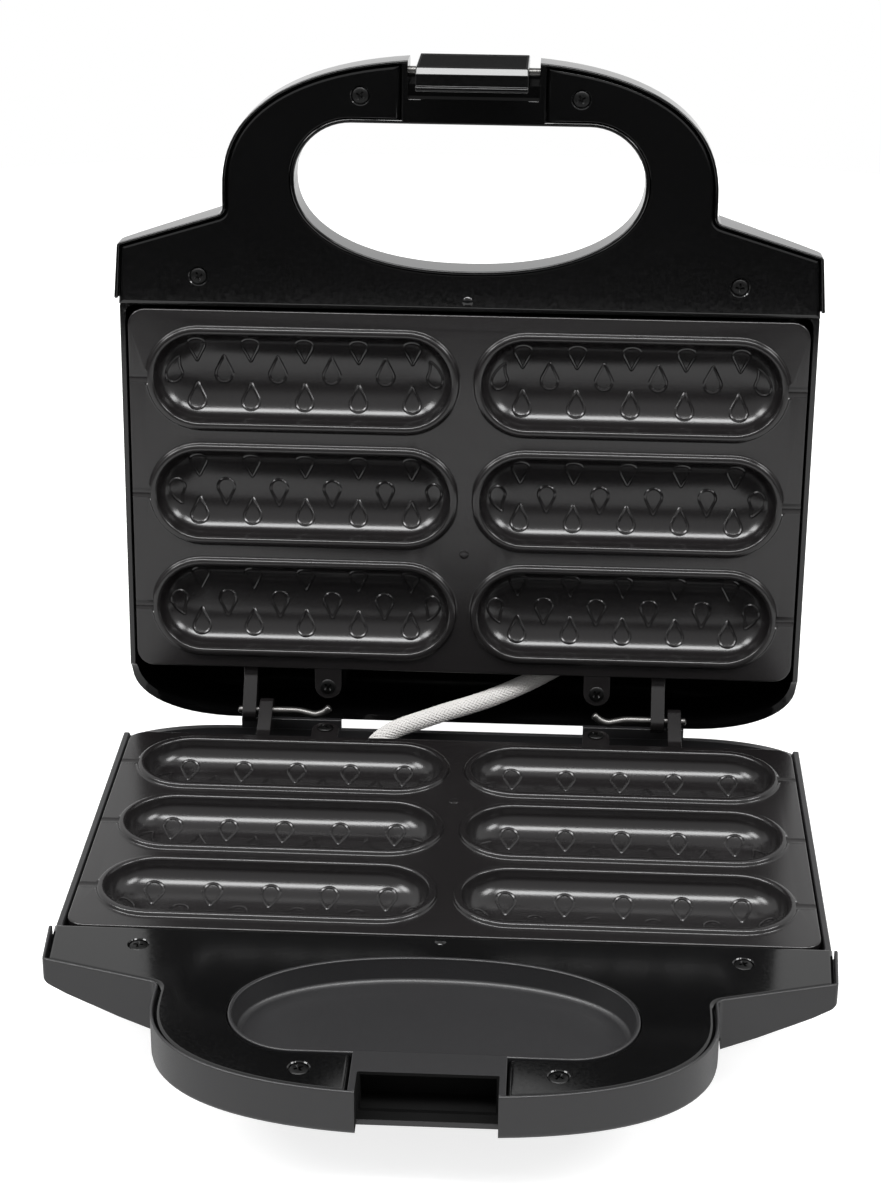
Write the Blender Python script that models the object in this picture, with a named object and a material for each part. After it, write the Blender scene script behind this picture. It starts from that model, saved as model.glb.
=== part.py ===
"""Corn dog maker: two hinged shells, each with a cast plate of six cavities and a fixed loop handle.

Both halves are modelled in one shared half frame. Its origin lies on the hinge axis, X runs along that axis,
s is the distance from the axis towards the handle, and depth is the distance below the parting plane.
The base half stands on its feet. The lid half is the same half turned to face it, shown fully open.
"""
import math

import bmesh
import bpy
from mathutils import Vector

MM = 0.001

# Placing
OPEN_ANGLE = 94.85            # degrees from closed to the stop, where the lid leans back past upright
BODY_DEPTH = 38.0 * MM        # one shell, from the parting plane to its outer face
FOOT_HEIGHT = 4.0 * MM
HINGE_HEIGHT = BODY_DEPTH + FOOT_HEIGHT
HINGE_BACK = 93.36 * MM       # the hinge axis behind the middle of the open object's box

# Fits
GAP = 0.3 * MM                # clearance between pieces that touch
WALL = 2.2 * MM               # plastic wall
SINK = 1.0 * MM               # how far a cutter or a joined solid runs past the face it meets

# Shell body
BODY_HALF_WIDTH = 120.3 * MM
BODY_REAR = -7.0 * MM
BODY_FRONT = 150.4 * MM
BODY_RIM_DEPTH = 2.6 * MM
REAR_RIM_DEPTH = 10.0 * MM
REAR_CORNER = (40.0 * MM, 19.0 * MM)

# Wings and handle
WING_RIM_DEPTH = 0.2 * MM
WING_START = 150.8 * MM
EAR_HALF_WIDTH = 121.7 * MM
WING_TIP = (120.2 * MM, 170.0 * MM)
NOTCH_CORNER = (84.6 * MM, 180.8 * MM)
HANDLE_HALF_WIDTH = 83.8 * MM
HANDLE_BASE = 188.0 * MM
HANDLE_FRONT = 234.0 * MM
HANDLE_ROUNDING = 2.45        # superellipse exponent of the handle's outline
HANDLE_DEPTH = 15.0 * MM
HANDLE_FLOOR = 2.0 * MM
WING_HOLLOW_DEPTH = 7.5 * MM
BEYOND_HANDLE = HANDLE_FRONT + 4.0 * MM     # where cutters that leave the handle end
THROUGH_HANDLE = HANDLE_DEPTH + 5.0 * MM

# Finger opening of the handle
OVAL_HALF_WIDTH = 59.3 * MM
OVAL_MIDDLE = 193.0 * MM
OVAL_FRONT = 212.3 * MM
OVAL_REAR = 162.6 * MM
OVAL_ROUNDING = 2.2
OVAL_WALL = 2.2 * MM
OVAL_WALL_TOP = 0.4 * MM
RECESS_DEPTH = 8.0 * MM
RECESS_FILLET = 5.5 * MM      # where the base's recess turns from its wall to its floor

# Handle cover
COVER_TOP = 1.0 * MM
COVER_BOTTOM = 3.2 * MM
COVER_START = 148.5 * MM
COVER_SCREWS = ((36.9 * MM, 221.3 * MM), (92.5 * MM, 158.9 * MM))
SCREW_HEAD_RADIUS = 2.8 * MM
SCREW_SHANK_RADIUS = 1.5 * MM
SCREW_HOLE_RADIUS = 1.85 * MM
BOSS_RADIUS = 3.9 * MM

# Cooking plate
PLATE_HALF_WIDTH = 117.6 * MM
PLATE_REAR = 15.5 * MM
PLATE_FRONT = 147.0 * MM
PLATE_CORNER = 6.0 * MM
PLATE_TOP = 2.0 * MM
PLATE_BOTTOM = 4.4 * MM
RIDGE_TOP = 0.5 * MM
RIDGE_WIDTH = 2.6 * MM
CAVITY_MIDDLE = 57.0 * MM     # cavity centre to either side of the middle
CAVITY_STRAIGHT = 36.1 * MM   # half of the straight stretch of the cavity's outline
RIDGE_RADIUS = 18.2 * MM
CAVITY_DEPTH = 10.2 * MM
CAVITY_ROWS = (38.6 * MM, 80.7 * MM, 122.7 * MM)
CASTING_WALL = 2.3 * MM
GROOVE_RADIUS = 2.4 * MM
GROOVE_CENTRE = 0.8 * MM

# Hinge
LUG_RADIUS = 4.3 * MM
LUG_WIDTH = 4.9 * MM
LUG_PLACES = (-70.5 * MM, 76.5 * MM)
HINGE_SCREEN = (44.0 * MM, 80.5 * MM)   # raised rim behind each hinge, between these distances from the middle
HINGE_SCREEN_TOP = 6.0 * MM
PIN_RADIUS = 1.4 * MM
PLATE_SCREW_SIDE = 48.5 * MM
PLATE_SCREW_FORWARD = 9.0 * MM
TAB_RADIUS = 4.8 * MM
TAB_TOP = PLATE_TOP + 0.2 * MM

# Latch
LATCH_CENTRE = 1.0 * MM
LATCH_HALF_WIDTH = 18.4 * MM
LATCH_PIVOT_FORWARD = 229.0 * MM
LATCH_PIVOT_DEPTH = 8.0 * MM
LATCH_HUB_RADIUS = 3.5 * MM
LATCH_FRONT = 5.6 * MM        # the flap's outer face, from the pin
LATCH_BORE_RADIUS = 1.85 * MM
LATCH_PIN_RADIUS = 1.5 * MM
PIN_HOLE_DEPTH = 1.2 * MM
LID_NOTCH_HALF_WIDTH = 22.0 * MM
NOTCH_FLOOR = 12.4 * MM
LEDGE_HALF_WIDTH = 16.0 * MM
LEDGE_FRONT = 228.3 * MM
LEDGE_TOP = 12.3 * MM
BASE_SLOT_HALF_WIDTH = 20.2 * MM
SLOT_BACK = 225.0 * MM
CHEEK = 2.0 * MM

# Heater and what is under it
HEATER_RADIUS = 3.2 * MM
HEATER_DEPTH = 10.4 * MM
REFLECTOR_TOP = 15.6 * MM
REFLECTOR_BOTTOM = 16.4 * MM

# Inlet of the supply cord
INLET_X = 60.0 * MM
INLET_DEPTH = 23.0 * MM
BUSH_NECK_RADIUS = 4.95 * MM

# Lamps in the lid's outer face
LAMP_SIDE = 12.0 * MM
LAMP_FORWARD = 104.0 * MM
LAMP_RADIUS = 3.3 * MM

SLEEVE_RADIUS = 3.4 * MM


# Materials

def material(name, colour, roughness, metallic=0.0):
    made = bpy.data.materials.new(name)
    made.use_nodes = True
    made.diffuse_color = (*colour, 1.0)
    shader = made.node_tree.nodes["Principled BSDF"]
    shader.inputs["Base Color"].default_value = (*colour, 1.0)
    shader.inputs["Roughness"].default_value = roughness
    shader.inputs["Metallic"].default_value = metallic
    return made


FINISHES = {
    "black_plastic": ((0.022, 0.022, 0.024), 0.38, 0.0),
    "non_stick": ((0.055, 0.052, 0.052), 0.55, 0.0),
    "steel": ((0.55, 0.54, 0.52), 0.35, 1.0),
    "aluminium": ((0.72, 0.72, 0.73), 0.4, 1.0),
    "rubber": ((0.03, 0.03, 0.03), 0.85, 0.0),
    "ceramic": ((0.82, 0.8, 0.74), 0.6, 0.0),
    "red_lens": ((0.6, 0.03, 0.02), 0.2, 0.0),
    "green_lens": ((0.03, 0.45, 0.08), 0.2, 0.0),
    "woven_glass": ((0.74, 0.69, 0.61), 0.8, 0.0),
}


# Outlines, as lists of (x, s)

def superellipse_quarter(half_width, height, exponent, count):
    """Points from (half_width, 0) round to (0, height)."""
    points = []
    for step in range(count + 1):
        angle = 0.5 * math.pi * step / count
        across = half_width * abs(math.cos(angle)) ** (2.0 / exponent)
        along = height * abs(math.sin(angle)) ** (2.0 / exponent)
        points.append((across, along))
    return points


def arc(centre_x, centre_s, radius, start, end, count):
    points = []
    for step in range(count + 1):
        angle = math.radians(start + (end - start) * step / count)
        points.append((centre_x + radius * math.cos(angle), centre_s + radius * math.sin(angle)))
    return points


def both_sides(right):
    """Closes an outline from its right side, listed from the rear to the front."""
    left = [(-x, s) for x, s in reversed(right) if x > 1e-7]
    return right + left


def stadium(centre_x, centre_s, straight, radius, count=6):
    right_end = arc(centre_x + straight, centre_s, radius, -90.0, 90.0, count)
    left_end = arc(centre_x - straight, centre_s, radius, 90.0, 270.0, count)
    return right_end + left_end


def circle(centre_x, centre_s, radius, count=12):
    return arc(centre_x, centre_s, radius, 0.0, 360.0 * (count - 1) / count, count - 1)


def rectangle(left, right, rear, front):
    return [(left, rear), (right, rear), (right, front), (left, front)]


def rounded_rectangle(half_width, rear, front, radius, count=3):
    right = arc(half_width - radius, rear + radius, radius, -90.0, 0.0, count)
    right += arc(half_width - radius, front - radius, radius, 0.0, 90.0, count)
    return both_sides(right)


def body_outline(half_width, rear, front):
    """Plan of a shell: wide rounded corners at the rear, tight ones at the front."""
    corner_width, corner_length = REAR_CORNER
    right = []
    for across, along in reversed(superellipse_quarter(corner_width, corner_length, 2.3, 6)):
        right.append((half_width - corner_width + across, rear + corner_length - along))
    right += arc(half_width - 3.0 * MM, front - 3.0 * MM, 3.0 * MM, 0.0, 90.0, 2)
    return both_sides(right)


def handle_outline(inset, rear, side_rear):
    """Plan of the wings and the handle, drawn in by inset. side_rear is the half width where it starts."""
    tip_x, tip_s = WING_TIP
    notch_x, notch_s = NOTCH_CORNER
    right = [
        (side_rear, rear),
        (tip_x - inset, tip_s - 1.6 * MM - inset),
        (tip_x - 1.3 * MM - inset, tip_s + 0.2 * MM - inset),
        (notch_x + 1.8 * MM - inset, notch_s - 0.5 * MM - inset),
        (notch_x - 0.2 * MM - inset, notch_s + 0.6 * MM - inset),
        (notch_x - 0.6 * MM - inset, notch_s + 2.6 * MM - inset),
    ]
    round_front = superellipse_quarter(
        HANDLE_HALF_WIDTH - inset, HANDLE_FRONT - HANDLE_BASE - inset, HANDLE_ROUNDING, 11)
    right += [(x, HANDLE_BASE + s) for x, s in round_front]
    return both_sides(right)


def oval_outline(grow):
    """Finger opening: a flat front with round corners, and a long curve on the hinge side."""
    rear_curve = superellipse_quarter(
        OVAL_HALF_WIDTH + grow, OVAL_MIDDLE - OVAL_REAR + grow, OVAL_ROUNDING, 8)
    right = [(x, OVAL_MIDDLE - s) for x, s in reversed(rear_curve)]
    corner = OVAL_FRONT - OVAL_MIDDLE
    right += arc(OVAL_HALF_WIDTH - corner, OVAL_MIDDLE, corner + grow, 0.0, 90.0, 5)[1:]
    return both_sides(right)


# Solids in the half frame

def place(x, s, depth):
    return Vector((x, -s, -depth))


def closed(mesh):
    bmesh.ops.recalc_face_normals(mesh, faces=mesh.faces)
    return mesh


def add_rings(mesh, rings):
    """Joins rings of points of equal count into a skin with flat ends."""
    loops = [[mesh.verts.new(point) for point in ring] for ring in rings]
    count = len(loops[0])
    for upper, lower in zip(loops, loops[1:]):
        for index in range(count):
            after = (index + 1) % count
            mesh.faces.new((upper[index], upper[after], lower[after], lower[index]))
    mesh.faces.new(loops[0])
    mesh.faces.new(list(reversed(loops[-1])))


def loft(levels):
    """A solid through outlines at rising depths, as (outline, depth)."""
    mesh = bmesh.new()
    add_rings(mesh, [[place(x, s, depth) for x, s in outline] for outline, depth in levels])
    return closed(mesh)


def prism(outline, top, bottom):
    return loft([(outline, top), (outline, bottom)])


def post(x, s, levels, count=12):
    """A turned piece standing across the plate, as (radius, depth) steps."""
    return loft([(circle(x, s, radius, count), depth) for radius, depth in levels])


def side_prism(profile, left, right):
    """A profile of (s, depth) points, run along X."""
    mesh = bmesh.new()
    add_rings(mesh, [[place(x, s, depth) for s, depth in profile] for x in (left, right)])
    return closed(mesh)


def front_prism(profile, rear, front):
    """A profile of (x, depth) points, run along s."""
    mesh = bmesh.new()
    add_rings(mesh, [[place(x, s, depth) for x, depth in profile] for s in (rear, front)])
    return closed(mesh)


def rod_across(left, right, s, depth, radius, count=12):
    return side_prism(circle(s, depth, radius, count), left, right)


def turned_along(x, depth, steps, count=14):
    """A turned piece along s, as (radius, s) steps."""
    mesh = bmesh.new()
    rings = []
    for radius, s in steps:
        rings.append([place(ring_x, s, ring_depth) for ring_x, ring_depth in circle(x, depth, radius, count)])
    add_rings(mesh, rings)
    return closed(mesh)


def together(parts):
    """Several closed solids in one mesh, for use as one cutter."""
    joined = bmesh.new()
    for part in parts:
        kept = bpy.data.meshes.new("part")
        part.to_mesh(kept)
        part.free()
        joined.from_mesh(kept)
        bpy.data.meshes.remove(kept)
    return joined


# Objects

def add_object(name, mesh, frame, finish=None):
    data = bpy.data.meshes.new(name)
    mesh.to_mesh(data)
    mesh.free()
    made = bpy.data.objects.new(name, data)
    bpy.context.scene.collection.objects.link(made)
    made.parent = frame
    if finish is None:
        made.hide_render = True
        made.display_type = "WIRE"
    else:
        data.materials.append(MATERIALS[finish])
        data.shade_smooth()
        data.set_sharp_from_angle(angle=math.radians(30.0))
    return made


def combine(target, operation, tool):
    """Cuts, joins or intersects the target with another solid of its own frame."""
    count = len(target.modifiers) + 1
    if isinstance(tool, bmesh.types.BMesh):
        tool = add_object(f"{target.name}_shape_{count}", tool, target.parent)
    step = target.modifiers.new(f"{operation.lower()}_{count}", "BOOLEAN")
    step.operation = operation
    step.solver = "EXACT"
    step.object = tool


def add_tube(name, points, radius, frame, finish, resolution=1):
    curve = bpy.data.curves.new(name, "CURVE")
    curve.dimensions = "3D"
    curve.bevel_depth = radius
    curve.bevel_resolution = resolution
    curve.use_fill_caps = True
    line = curve.splines.new("POLY")
    line.points.add(len(points) - 1)
    for knot, point in zip(line.points, points):
        knot.co = (*point, 1.0)
    curve.materials.append(MATERIALS[finish])
    made = bpy.data.objects.new(name, curve)
    bpy.context.scene.collection.objects.link(made)
    made.parent = frame
    return made


def smooth_route(through, spacing):
    """Points at even steps along a smooth curve through the route's own points."""
    points = []
    padded = [2 * through[0] - through[1], *through, 2 * through[-1] - through[-2]]
    for before, start, end, after in zip(padded, padded[1:], padded[2:], padded[3:]):
        count = max(1, round((end - start).length / spacing))
        for step in range(count):
            t = step / count
            points.append(0.5 * (
                2 * start
                + (end - before) * t
                + (2 * before - 5 * start + 4 * end - after) * t ** 2
                + (3 * start - before - 3 * end + after) * t ** 3
            ))
    points.append(through[-1])
    return points


# Shells

BODY_LEVELS = (
    # depth, half width less, rear plus, front
    (BODY_RIM_DEPTH, 0.0, 0.0, BODY_FRONT),
    (14.0 * MM, 0.4 * MM, 0.2 * MM, BODY_FRONT),
    (31.0 * MM, 3.0 * MM, 2.5 * MM, 128.0 * MM),
    (36.0 * MM, 8.0 * MM, 7.5 * MM, 119.0 * MM),
    (BODY_DEPTH, 15.0 * MM, 15.0 * MM, 111.0 * MM),
)

WING_UNDERSIDE = (
    # x, depth: the wings' underside rises towards the tips
    (HANDLE_HALF_WIDTH + 0.1 * MM, HANDLE_DEPTH),
    (HANDLE_HALF_WIDTH + 0.4 * MM, 17.6 * MM),
    (96.0 * MM, 15.4 * MM),
    (106.0 * MM, 12.8 * MM),
    (113.0 * MM, 11.0 * MM),
    (118.5 * MM, 9.0 * MM),
    (122.5 * MM, 5.0 * MM),
    (122.5 * MM, -SINK),
)


def shell_body():
    return loft([
        (body_outline(BODY_HALF_WIDTH - less, BODY_REAR + rear, front), depth)
        for depth, less, rear, front in BODY_LEVELS
    ])


def shell_hollow():
    """Inside of the shell: the same steps, a wall's thickness in, and open at the top."""
    levels = [(body_outline(BODY_HALF_WIDTH - WALL + 0.2 * MM, BODY_REAR + WALL, BODY_FRONT - WALL), -SINK)]
    for depth, less, rear, front in BODY_LEVELS[1:]:
        outline = body_outline(BODY_HALF_WIDTH - less - WALL, BODY_REAR + rear + WALL, front - WALL)
        levels.append((outline, depth - (WALL if depth > 30.0 * MM else 0.0)))
    return loft(levels)


def wing_slab():
    outline = handle_outline(0.0, WING_START, EAR_HALF_WIDTH)
    start = BODY_FRONT - 4.0 * MM
    inner = BODY_HALF_WIDTH - 3.0 * MM
    outline = [(inner, start), (inner, WING_START)] + outline + [(-inner, WING_START), (-inner, start)]
    return prism(outline, WING_RIM_DEPTH, 20.0 * MM)


def wing_limits():
    """Front view of the wings and the handle, which gives their undersides."""
    profile = list(WING_UNDERSIDE) + [(-x, depth) for x, depth in reversed(WING_UNDERSIDE)]
    return front_prism(profile, BODY_FRONT - 8.0 * MM, HANDLE_FRONT + 4.0 * MM)


def rear_cut():
    """Lowers the rim behind the plate, so that the shells clear each other as the lid opens."""
    behind = BODY_REAR - 5.0 * MM
    profile = [
        (behind, -SINK), (17.0 * MM, -SINK), (15.0 * MM, 2.6 * MM), (12.0 * MM, 5.2 * MM),
        (7.0 * MM, 8.0 * MM), (1.0 * MM, 9.6 * MM), (-5.0 * MM, REAR_RIM_DEPTH), (behind, REAR_RIM_DEPTH),
    ]
    return side_prism(profile, -BODY_HALF_WIDTH - SINK, BODY_HALF_WIDTH + SINK)


def wing_hollow(side):
    """Hollow of one wing, from beside the handle to the tip."""
    tip_x, tip_s = WING_TIP
    outline = [
        (80.0 * MM, WING_START), (tip_x - 2.0 * MM, WING_START),
        (tip_x - 3.2 * MM, tip_s - 3.0 * MM), (80.0 * MM, NOTCH_CORNER[1] - 3.4 * MM),
    ]
    return prism([(side * x, s) for x, s in outline], 2.5 * MM, WING_HOLLOW_DEPTH)


def handle_hollow():
    """Hollow of the handle behind its cover."""
    width = HANDLE_HALF_WIDTH - WALL
    right = [(width, WING_START)]
    round_front = superellipse_quarter(width, HANDLE_FRONT - HANDLE_BASE - WALL, HANDLE_ROUNDING, 11)
    right += [(x, HANDLE_BASE + s) for x, s in round_front]
    return prism(both_sides(right), 2.5 * MM, HANDLE_DEPTH - HANDLE_FLOOR)


def screw_places():
    return [(side * x, s) for x, s in COVER_SCREWS for side in (-1.0, 1.0)]


def plate_screw_places():
    return [(side * PLATE_SCREW_SIDE, PLATE_SCREW_FORWARD) for side in (-1.0, 1.0)]


def straight_posts(places, radius, top, bottom):
    return together([post(x, s, ((radius, top), (radius, bottom))) for x, s in places])


def make_housing(name, frame, centre, slot_half_width):
    """Shell body, wings and handle of one half, with the oval's wall and the slot's cheeks."""
    housing = add_object(name, shell_body(), frame, "black_plastic")
    wings = add_object(f"{name}_wings", wing_slab(), frame)
    combine(wings, "INTERSECT", wing_limits())
    combine(housing, "UNION", wings)
    seat = handle_outline(WALL, COVER_START - GAP, EAR_HALF_WIDTH - WALL)
    combine(housing, "DIFFERENCE", shell_hollow())
    combine(housing, "DIFFERENCE", prism(seat, -SINK, COVER_BOTTOM + GAP))
    combine(housing, "DIFFERENCE", handle_hollow())
    combine(housing, "DIFFERENCE", together([wing_hollow(-1.0), wing_hollow(1.0)]))
    cheek = slot_half_width + CHEEK
    floor_join = HANDLE_DEPTH - SINK
    combine(housing, "UNION", prism(oval_outline(OVAL_WALL), OVAL_WALL_TOP, floor_join))
    block = rectangle(centre - cheek, centre + cheek, OVAL_FRONT - SINK, HANDLE_FRONT - 3.0 * MM)
    combine(housing, "UNION", prism(block, OVAL_WALL_TOP, floor_join))
    combine(housing, "UNION", straight_posts(screw_places(), BOSS_RADIUS, COVER_BOTTOM + GAP, floor_join))
    combine(housing, "DIFFERENCE", straight_posts(screw_places(), SCREW_HOLE_RADIUS, COVER_TOP, 11.0 * MM))
    tabs = plate_screw_places()
    combine(housing, "UNION", straight_posts(tabs, BOSS_RADIUS, PLATE_BOTTOM + GAP, BODY_DEPTH - SINK))
    combine(housing, "DIFFERENCE", straight_posts(tabs, SCREW_HOLE_RADIUS, SINK, 15.0 * MM))
    combine(housing, "DIFFERENCE", rear_cut())
    return housing


def make_base_housing(frame):
    housing = make_housing("base_housing", frame, 0.0, BASE_SLOT_HALF_WIDTH)
    recess = [(oval_outline(0.0), -SINK)]
    for angle in (0.0, 30.0, 60.0, 90.0):
        inset = RECESS_FILLET * (1.0 - math.cos(math.radians(angle)))
        drop = RECESS_FILLET * math.sin(math.radians(angle))
        recess.append((oval_outline(-inset), RECESS_DEPTH - RECESS_FILLET + drop))
    combine(housing, "DIFFERENCE", loft(recess))
    slot = rectangle(-BASE_SLOT_HALF_WIDTH, BASE_SLOT_HALF_WIDTH, SLOT_BACK, BEYOND_HANDLE)
    combine(housing, "DIFFERENCE", prism(slot, -SINK, THROUGH_HANDLE))
    ledge = rectangle(-LEDGE_HALF_WIDTH, LEDGE_HALF_WIDTH, SLOT_BACK - SINK, LEDGE_FRONT)
    combine(housing, "UNION", prism(ledge, LEDGE_TOP, HANDLE_DEPTH - 0.1 * MM))
    hole_radius = BUSH_NECK_RADIUS + GAP + 0.05 * MM
    inlet = turned_along(INLET_X, INLET_DEPTH, ((hole_radius, -12.0 * MM), (hole_radius, 2.0 * MM)))
    combine(housing, "DIFFERENCE", inlet)
    screens = []
    for side in (-1.0, 1.0):
        left, right = sorted((side * HINGE_SCREEN[0], side * HINGE_SCREEN[1]))
        screen = rectangle(left, right, BODY_REAR + 0.1 * MM, BODY_REAR + WALL - 0.1 * MM)
        screens.append(prism(screen, HINGE_SCREEN_TOP, REAR_RIM_DEPTH + SINK))
    combine(housing, "UNION", together(screens))
    return housing


def make_lid_housing(frame):
    centre = -LATCH_CENTRE
    housing = make_housing("lid_housing", frame, centre, LID_NOTCH_HALF_WIDTH)
    combine(housing, "DIFFERENCE", prism(oval_outline(0.0), -SINK, THROUGH_HANDLE))
    left = centre - LID_NOTCH_HALF_WIDTH
    right = centre + LID_NOTCH_HALF_WIDTH
    notch = rectangle(left, right, SLOT_BACK, BEYOND_HANDLE)
    combine(housing, "DIFFERENCE", prism(notch, -SINK, NOTCH_FLOOR))
    opened = rectangle(left, right, LATCH_PIVOT_FORWARD, BEYOND_HANDLE)
    combine(housing, "DIFFERENCE", prism(opened, NOTCH_FLOOR - SINK, THROUGH_HANDLE))
    reach = PIN_HOLE_DEPTH + GAP + 0.1 * MM
    pin_hole = rod_across(
        left - reach, right + reach, LATCH_PIVOT_FORWARD, LATCH_PIVOT_DEPTH, LATCH_BORE_RADIUS)
    combine(housing, "DIFFERENCE", pin_hole)
    lamp_places = [(side * LAMP_SIDE, LAMP_FORWARD) for side in (-1.0, 1.0)]
    lamps = straight_posts(lamp_places, LAMP_RADIUS + GAP, BODY_DEPTH - 2.0 * WALL, BODY_DEPTH + SINK)
    combine(housing, "DIFFERENCE", lamps)
    return housing


def make_handle_cover(name, frame, centre, slot_half_width):
    outline = handle_outline(WALL + GAP, COVER_START, EAR_HALF_WIDTH - WALL - GAP)
    cover = add_object(name, prism(outline, COVER_TOP, COVER_BOTTOM), frame, "black_plastic")
    below = COVER_BOTTOM + SINK
    combine(cover, "DIFFERENCE", prism(oval_outline(OVAL_WALL + GAP), 0.0, below))
    cheek = slot_half_width + CHEEK + GAP
    gap = rectangle(centre - cheek, centre + cheek, OVAL_FRONT - SINK, HANDLE_FRONT)
    combine(cover, "DIFFERENCE", prism(gap, 0.0, below))
    seat_radius = SCREW_HEAD_RADIUS + GAP
    seat_depth = COVER_TOP + SINK
    steps = ((seat_radius, 0.0), (seat_radius, seat_depth), (SCREW_HOLE_RADIUS, seat_depth),
             (SCREW_HOLE_RADIUS, below))
    combine(cover, "DIFFERENCE", together([post(x, s, steps) for x, s in screw_places()]))
    return cover


# Cooking plate

def cavity_places():
    return [(side * CAVITY_MIDDLE, row) for row in CAVITY_ROWS for side in (-1.0, 1.0)]


def dish(centre_x, centre_s, radius, depth, top):
    """Round-ended dish. Its section is a superellipse, so the floor is nearly flat."""
    levels = [(stadium(centre_x, centre_s, CAVITY_STRAIGHT, radius), top)]
    for share in (0.4, 0.72, 0.92, 1.0):
        radius_here = max(0.22, (1.0 - min(share, 0.99) ** 2.6) ** (1.0 / 2.6)) * radius
        levels.append((stadium(centre_x, centre_s, CAVITY_STRAIGHT, radius_here), RIDGE_TOP + depth * share))
    return loft(levels)


def ridge(centre_x, centre_s):
    upper = stadium(centre_x, centre_s, CAVITY_STRAIGHT, RIDGE_RADIUS - 0.7 * MM)
    lower = stadium(centre_x, centre_s, CAVITY_STRAIGHT, RIDGE_RADIUS)
    return loft([(upper, RIDGE_TOP), (lower, RIDGE_TOP + 0.8 * MM), (lower, PLATE_BOTTOM - 0.4 * MM)])


def lug(x):
    """Cast hinge eye on an arm from the plate's rear edge."""
    profile = arc(0.0, 0.0, LUG_RADIUS, 70.0, 290.0, 9)
    profile += [(PLATE_REAR - 3.0 * MM, PLATE_TOP), (PLATE_REAR + 2.0 * MM, PLATE_TOP + 0.1 * MM)]
    profile += [(PLATE_REAR + 2.0 * MM, PLATE_BOTTOM + 2.0 * MM)]
    return side_prism(profile, x - 0.5 * LUG_WIDTH, x + 0.5 * LUG_WIDTH)


def screw_tab(x, s):
    outline = arc(x, s, TAB_RADIUS, 180.0, 360.0, 6)
    outline += [(x + TAB_RADIUS, PLATE_REAR + SINK), (x - TAB_RADIUS, PLATE_REAR + SINK)]
    return prism(outline, TAB_TOP, PLATE_BOTTOM)


def make_cooking_plate(name, frame):
    """Cast plate: flat rim, six dishes with raised ridges, stick grooves, hinge eyes and screw tabs."""
    slab = prism(rounded_rectangle(PLATE_HALF_WIDTH, PLATE_REAR, PLATE_FRONT, PLATE_CORNER), PLATE_TOP, PLATE_BOTTOM)
    plate = add_object(name, slab, frame, "non_stick")
    inner_radius = RIDGE_RADIUS - RIDGE_WIDTH
    dishes = [dish(x, s, inner_radius + CASTING_WALL, CAVITY_DEPTH + CASTING_WALL, PLATE_TOP + 1.0 * MM)
              for x, s in cavity_places()]
    combine(plate, "UNION", together(dishes))
    combine(plate, "UNION", together([ridge(x, s) for x, s in cavity_places()]))
    tabs = [screw_tab(x, s) for x, s in plate_screw_places()]
    combine(plate, "UNION", together([lug(x) for x in LUG_PLACES] + tabs))
    hollows = [dish(x, s, inner_radius, CAVITY_DEPTH, -SINK) for x, s in cavity_places()]
    combine(plate, "DIFFERENCE", together(hollows))
    grooves = []
    for row in CAVITY_ROWS:
        inner = CAVITY_MIDDLE + CAVITY_STRAIGHT + inner_radius - 2.5 * MM
        for side in (-1.0, 1.0):
            ends = sorted((side * inner, side * (PLATE_HALF_WIDTH + SINK)))
            grooves.append(rod_across(ends[0], ends[1], row, GROOVE_CENTRE, GROOVE_RADIUS, 8))
    combine(plate, "DIFFERENCE", together(grooves))
    bores = [rod_across(x - LUG_WIDTH, x + LUG_WIDTH, 0.0, 0.0, PIN_RADIUS + 0.35 * MM) for x in LUG_PLACES]
    combine(plate, "DIFFERENCE", together(bores))
    holes = straight_posts(plate_screw_places(), SCREW_HOLE_RADIUS, 0.0, PLATE_BOTTOM + SINK)
    combine(plate, "DIFFERENCE", holes)
    return plate


# Fasteners and hinge

def make_screw(name, frame, x, s, head_top, end):
    steps = (
        (SCREW_HEAD_RADIUS - 0.5 * MM, head_top),
        (SCREW_HEAD_RADIUS, head_top + 0.35 * MM),
        (SCREW_HEAD_RADIUS, head_top + 0.65 * MM),
        (SCREW_SHANK_RADIUS, head_top + 0.65 * MM),
        (SCREW_SHANK_RADIUS, end),
    )
    add_object(name, post(x, s, steps, 10), frame, "steel")


def make_screws(half, frame):
    for index, (x, s) in enumerate(screw_places(), start=1):
        make_screw(f"{half}_cover_screw_{index}", frame, x, s, COVER_TOP + 0.05 * MM, 10.5 * MM)
    head_top = TAB_TOP - GAP - 0.65 * MM
    for word, (x, s) in zip("ab", plate_screw_places()):
        make_screw(f"{half}_plate_screw_{word}", frame, x, s, head_top, 14.5 * MM)


def make_hinge_pin(name, frame, side):
    """Steel pin through both eyes, with its tail bent up beside the screw tab."""
    route = [
        place(side * 80.4 * MM, 0.0, 0.0),
        place(side * 60.0 * MM, 0.0, 0.0),
        place(side * 56.5 * MM, 0.2 * MM, 0.5 * MM),
        place(side * 53.0 * MM, 0.4 * MM, 1.1 * MM),
        place(side * 50.0 * MM, 0.2 * MM, 0.2 * MM),
        place(side * 47.8 * MM, 0.0, -1.6 * MM),
    ]
    add_tube(name, route, PIN_RADIUS, frame, "steel")


# Heating, control and wiring

def make_heater(name, frame):
    """Tubular heater in a U between the rows of dishes."""
    near = 0.5 * (CAVITY_ROWS[0] + CAVITY_ROWS[1])
    far = 0.5 * (CAVITY_ROWS[1] + CAVITY_ROWS[2])
    start = -96.0 * MM
    turn = 110.5 * MM
    bend = 9.0 * MM
    route = [place(start, near, HEATER_DEPTH)]
    route += [place(x, s, HEATER_DEPTH) for x, s in arc(turn - bend, near + bend, bend, -90.0, 0.0, 4)]
    route += [place(x, s, HEATER_DEPTH) for x, s in arc(turn - bend, far - bend, bend, 0.0, 90.0, 4)]
    route.append(place(start, far, HEATER_DEPTH))
    add_tube(name, route, HEATER_RADIUS, frame, "steel")


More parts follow.
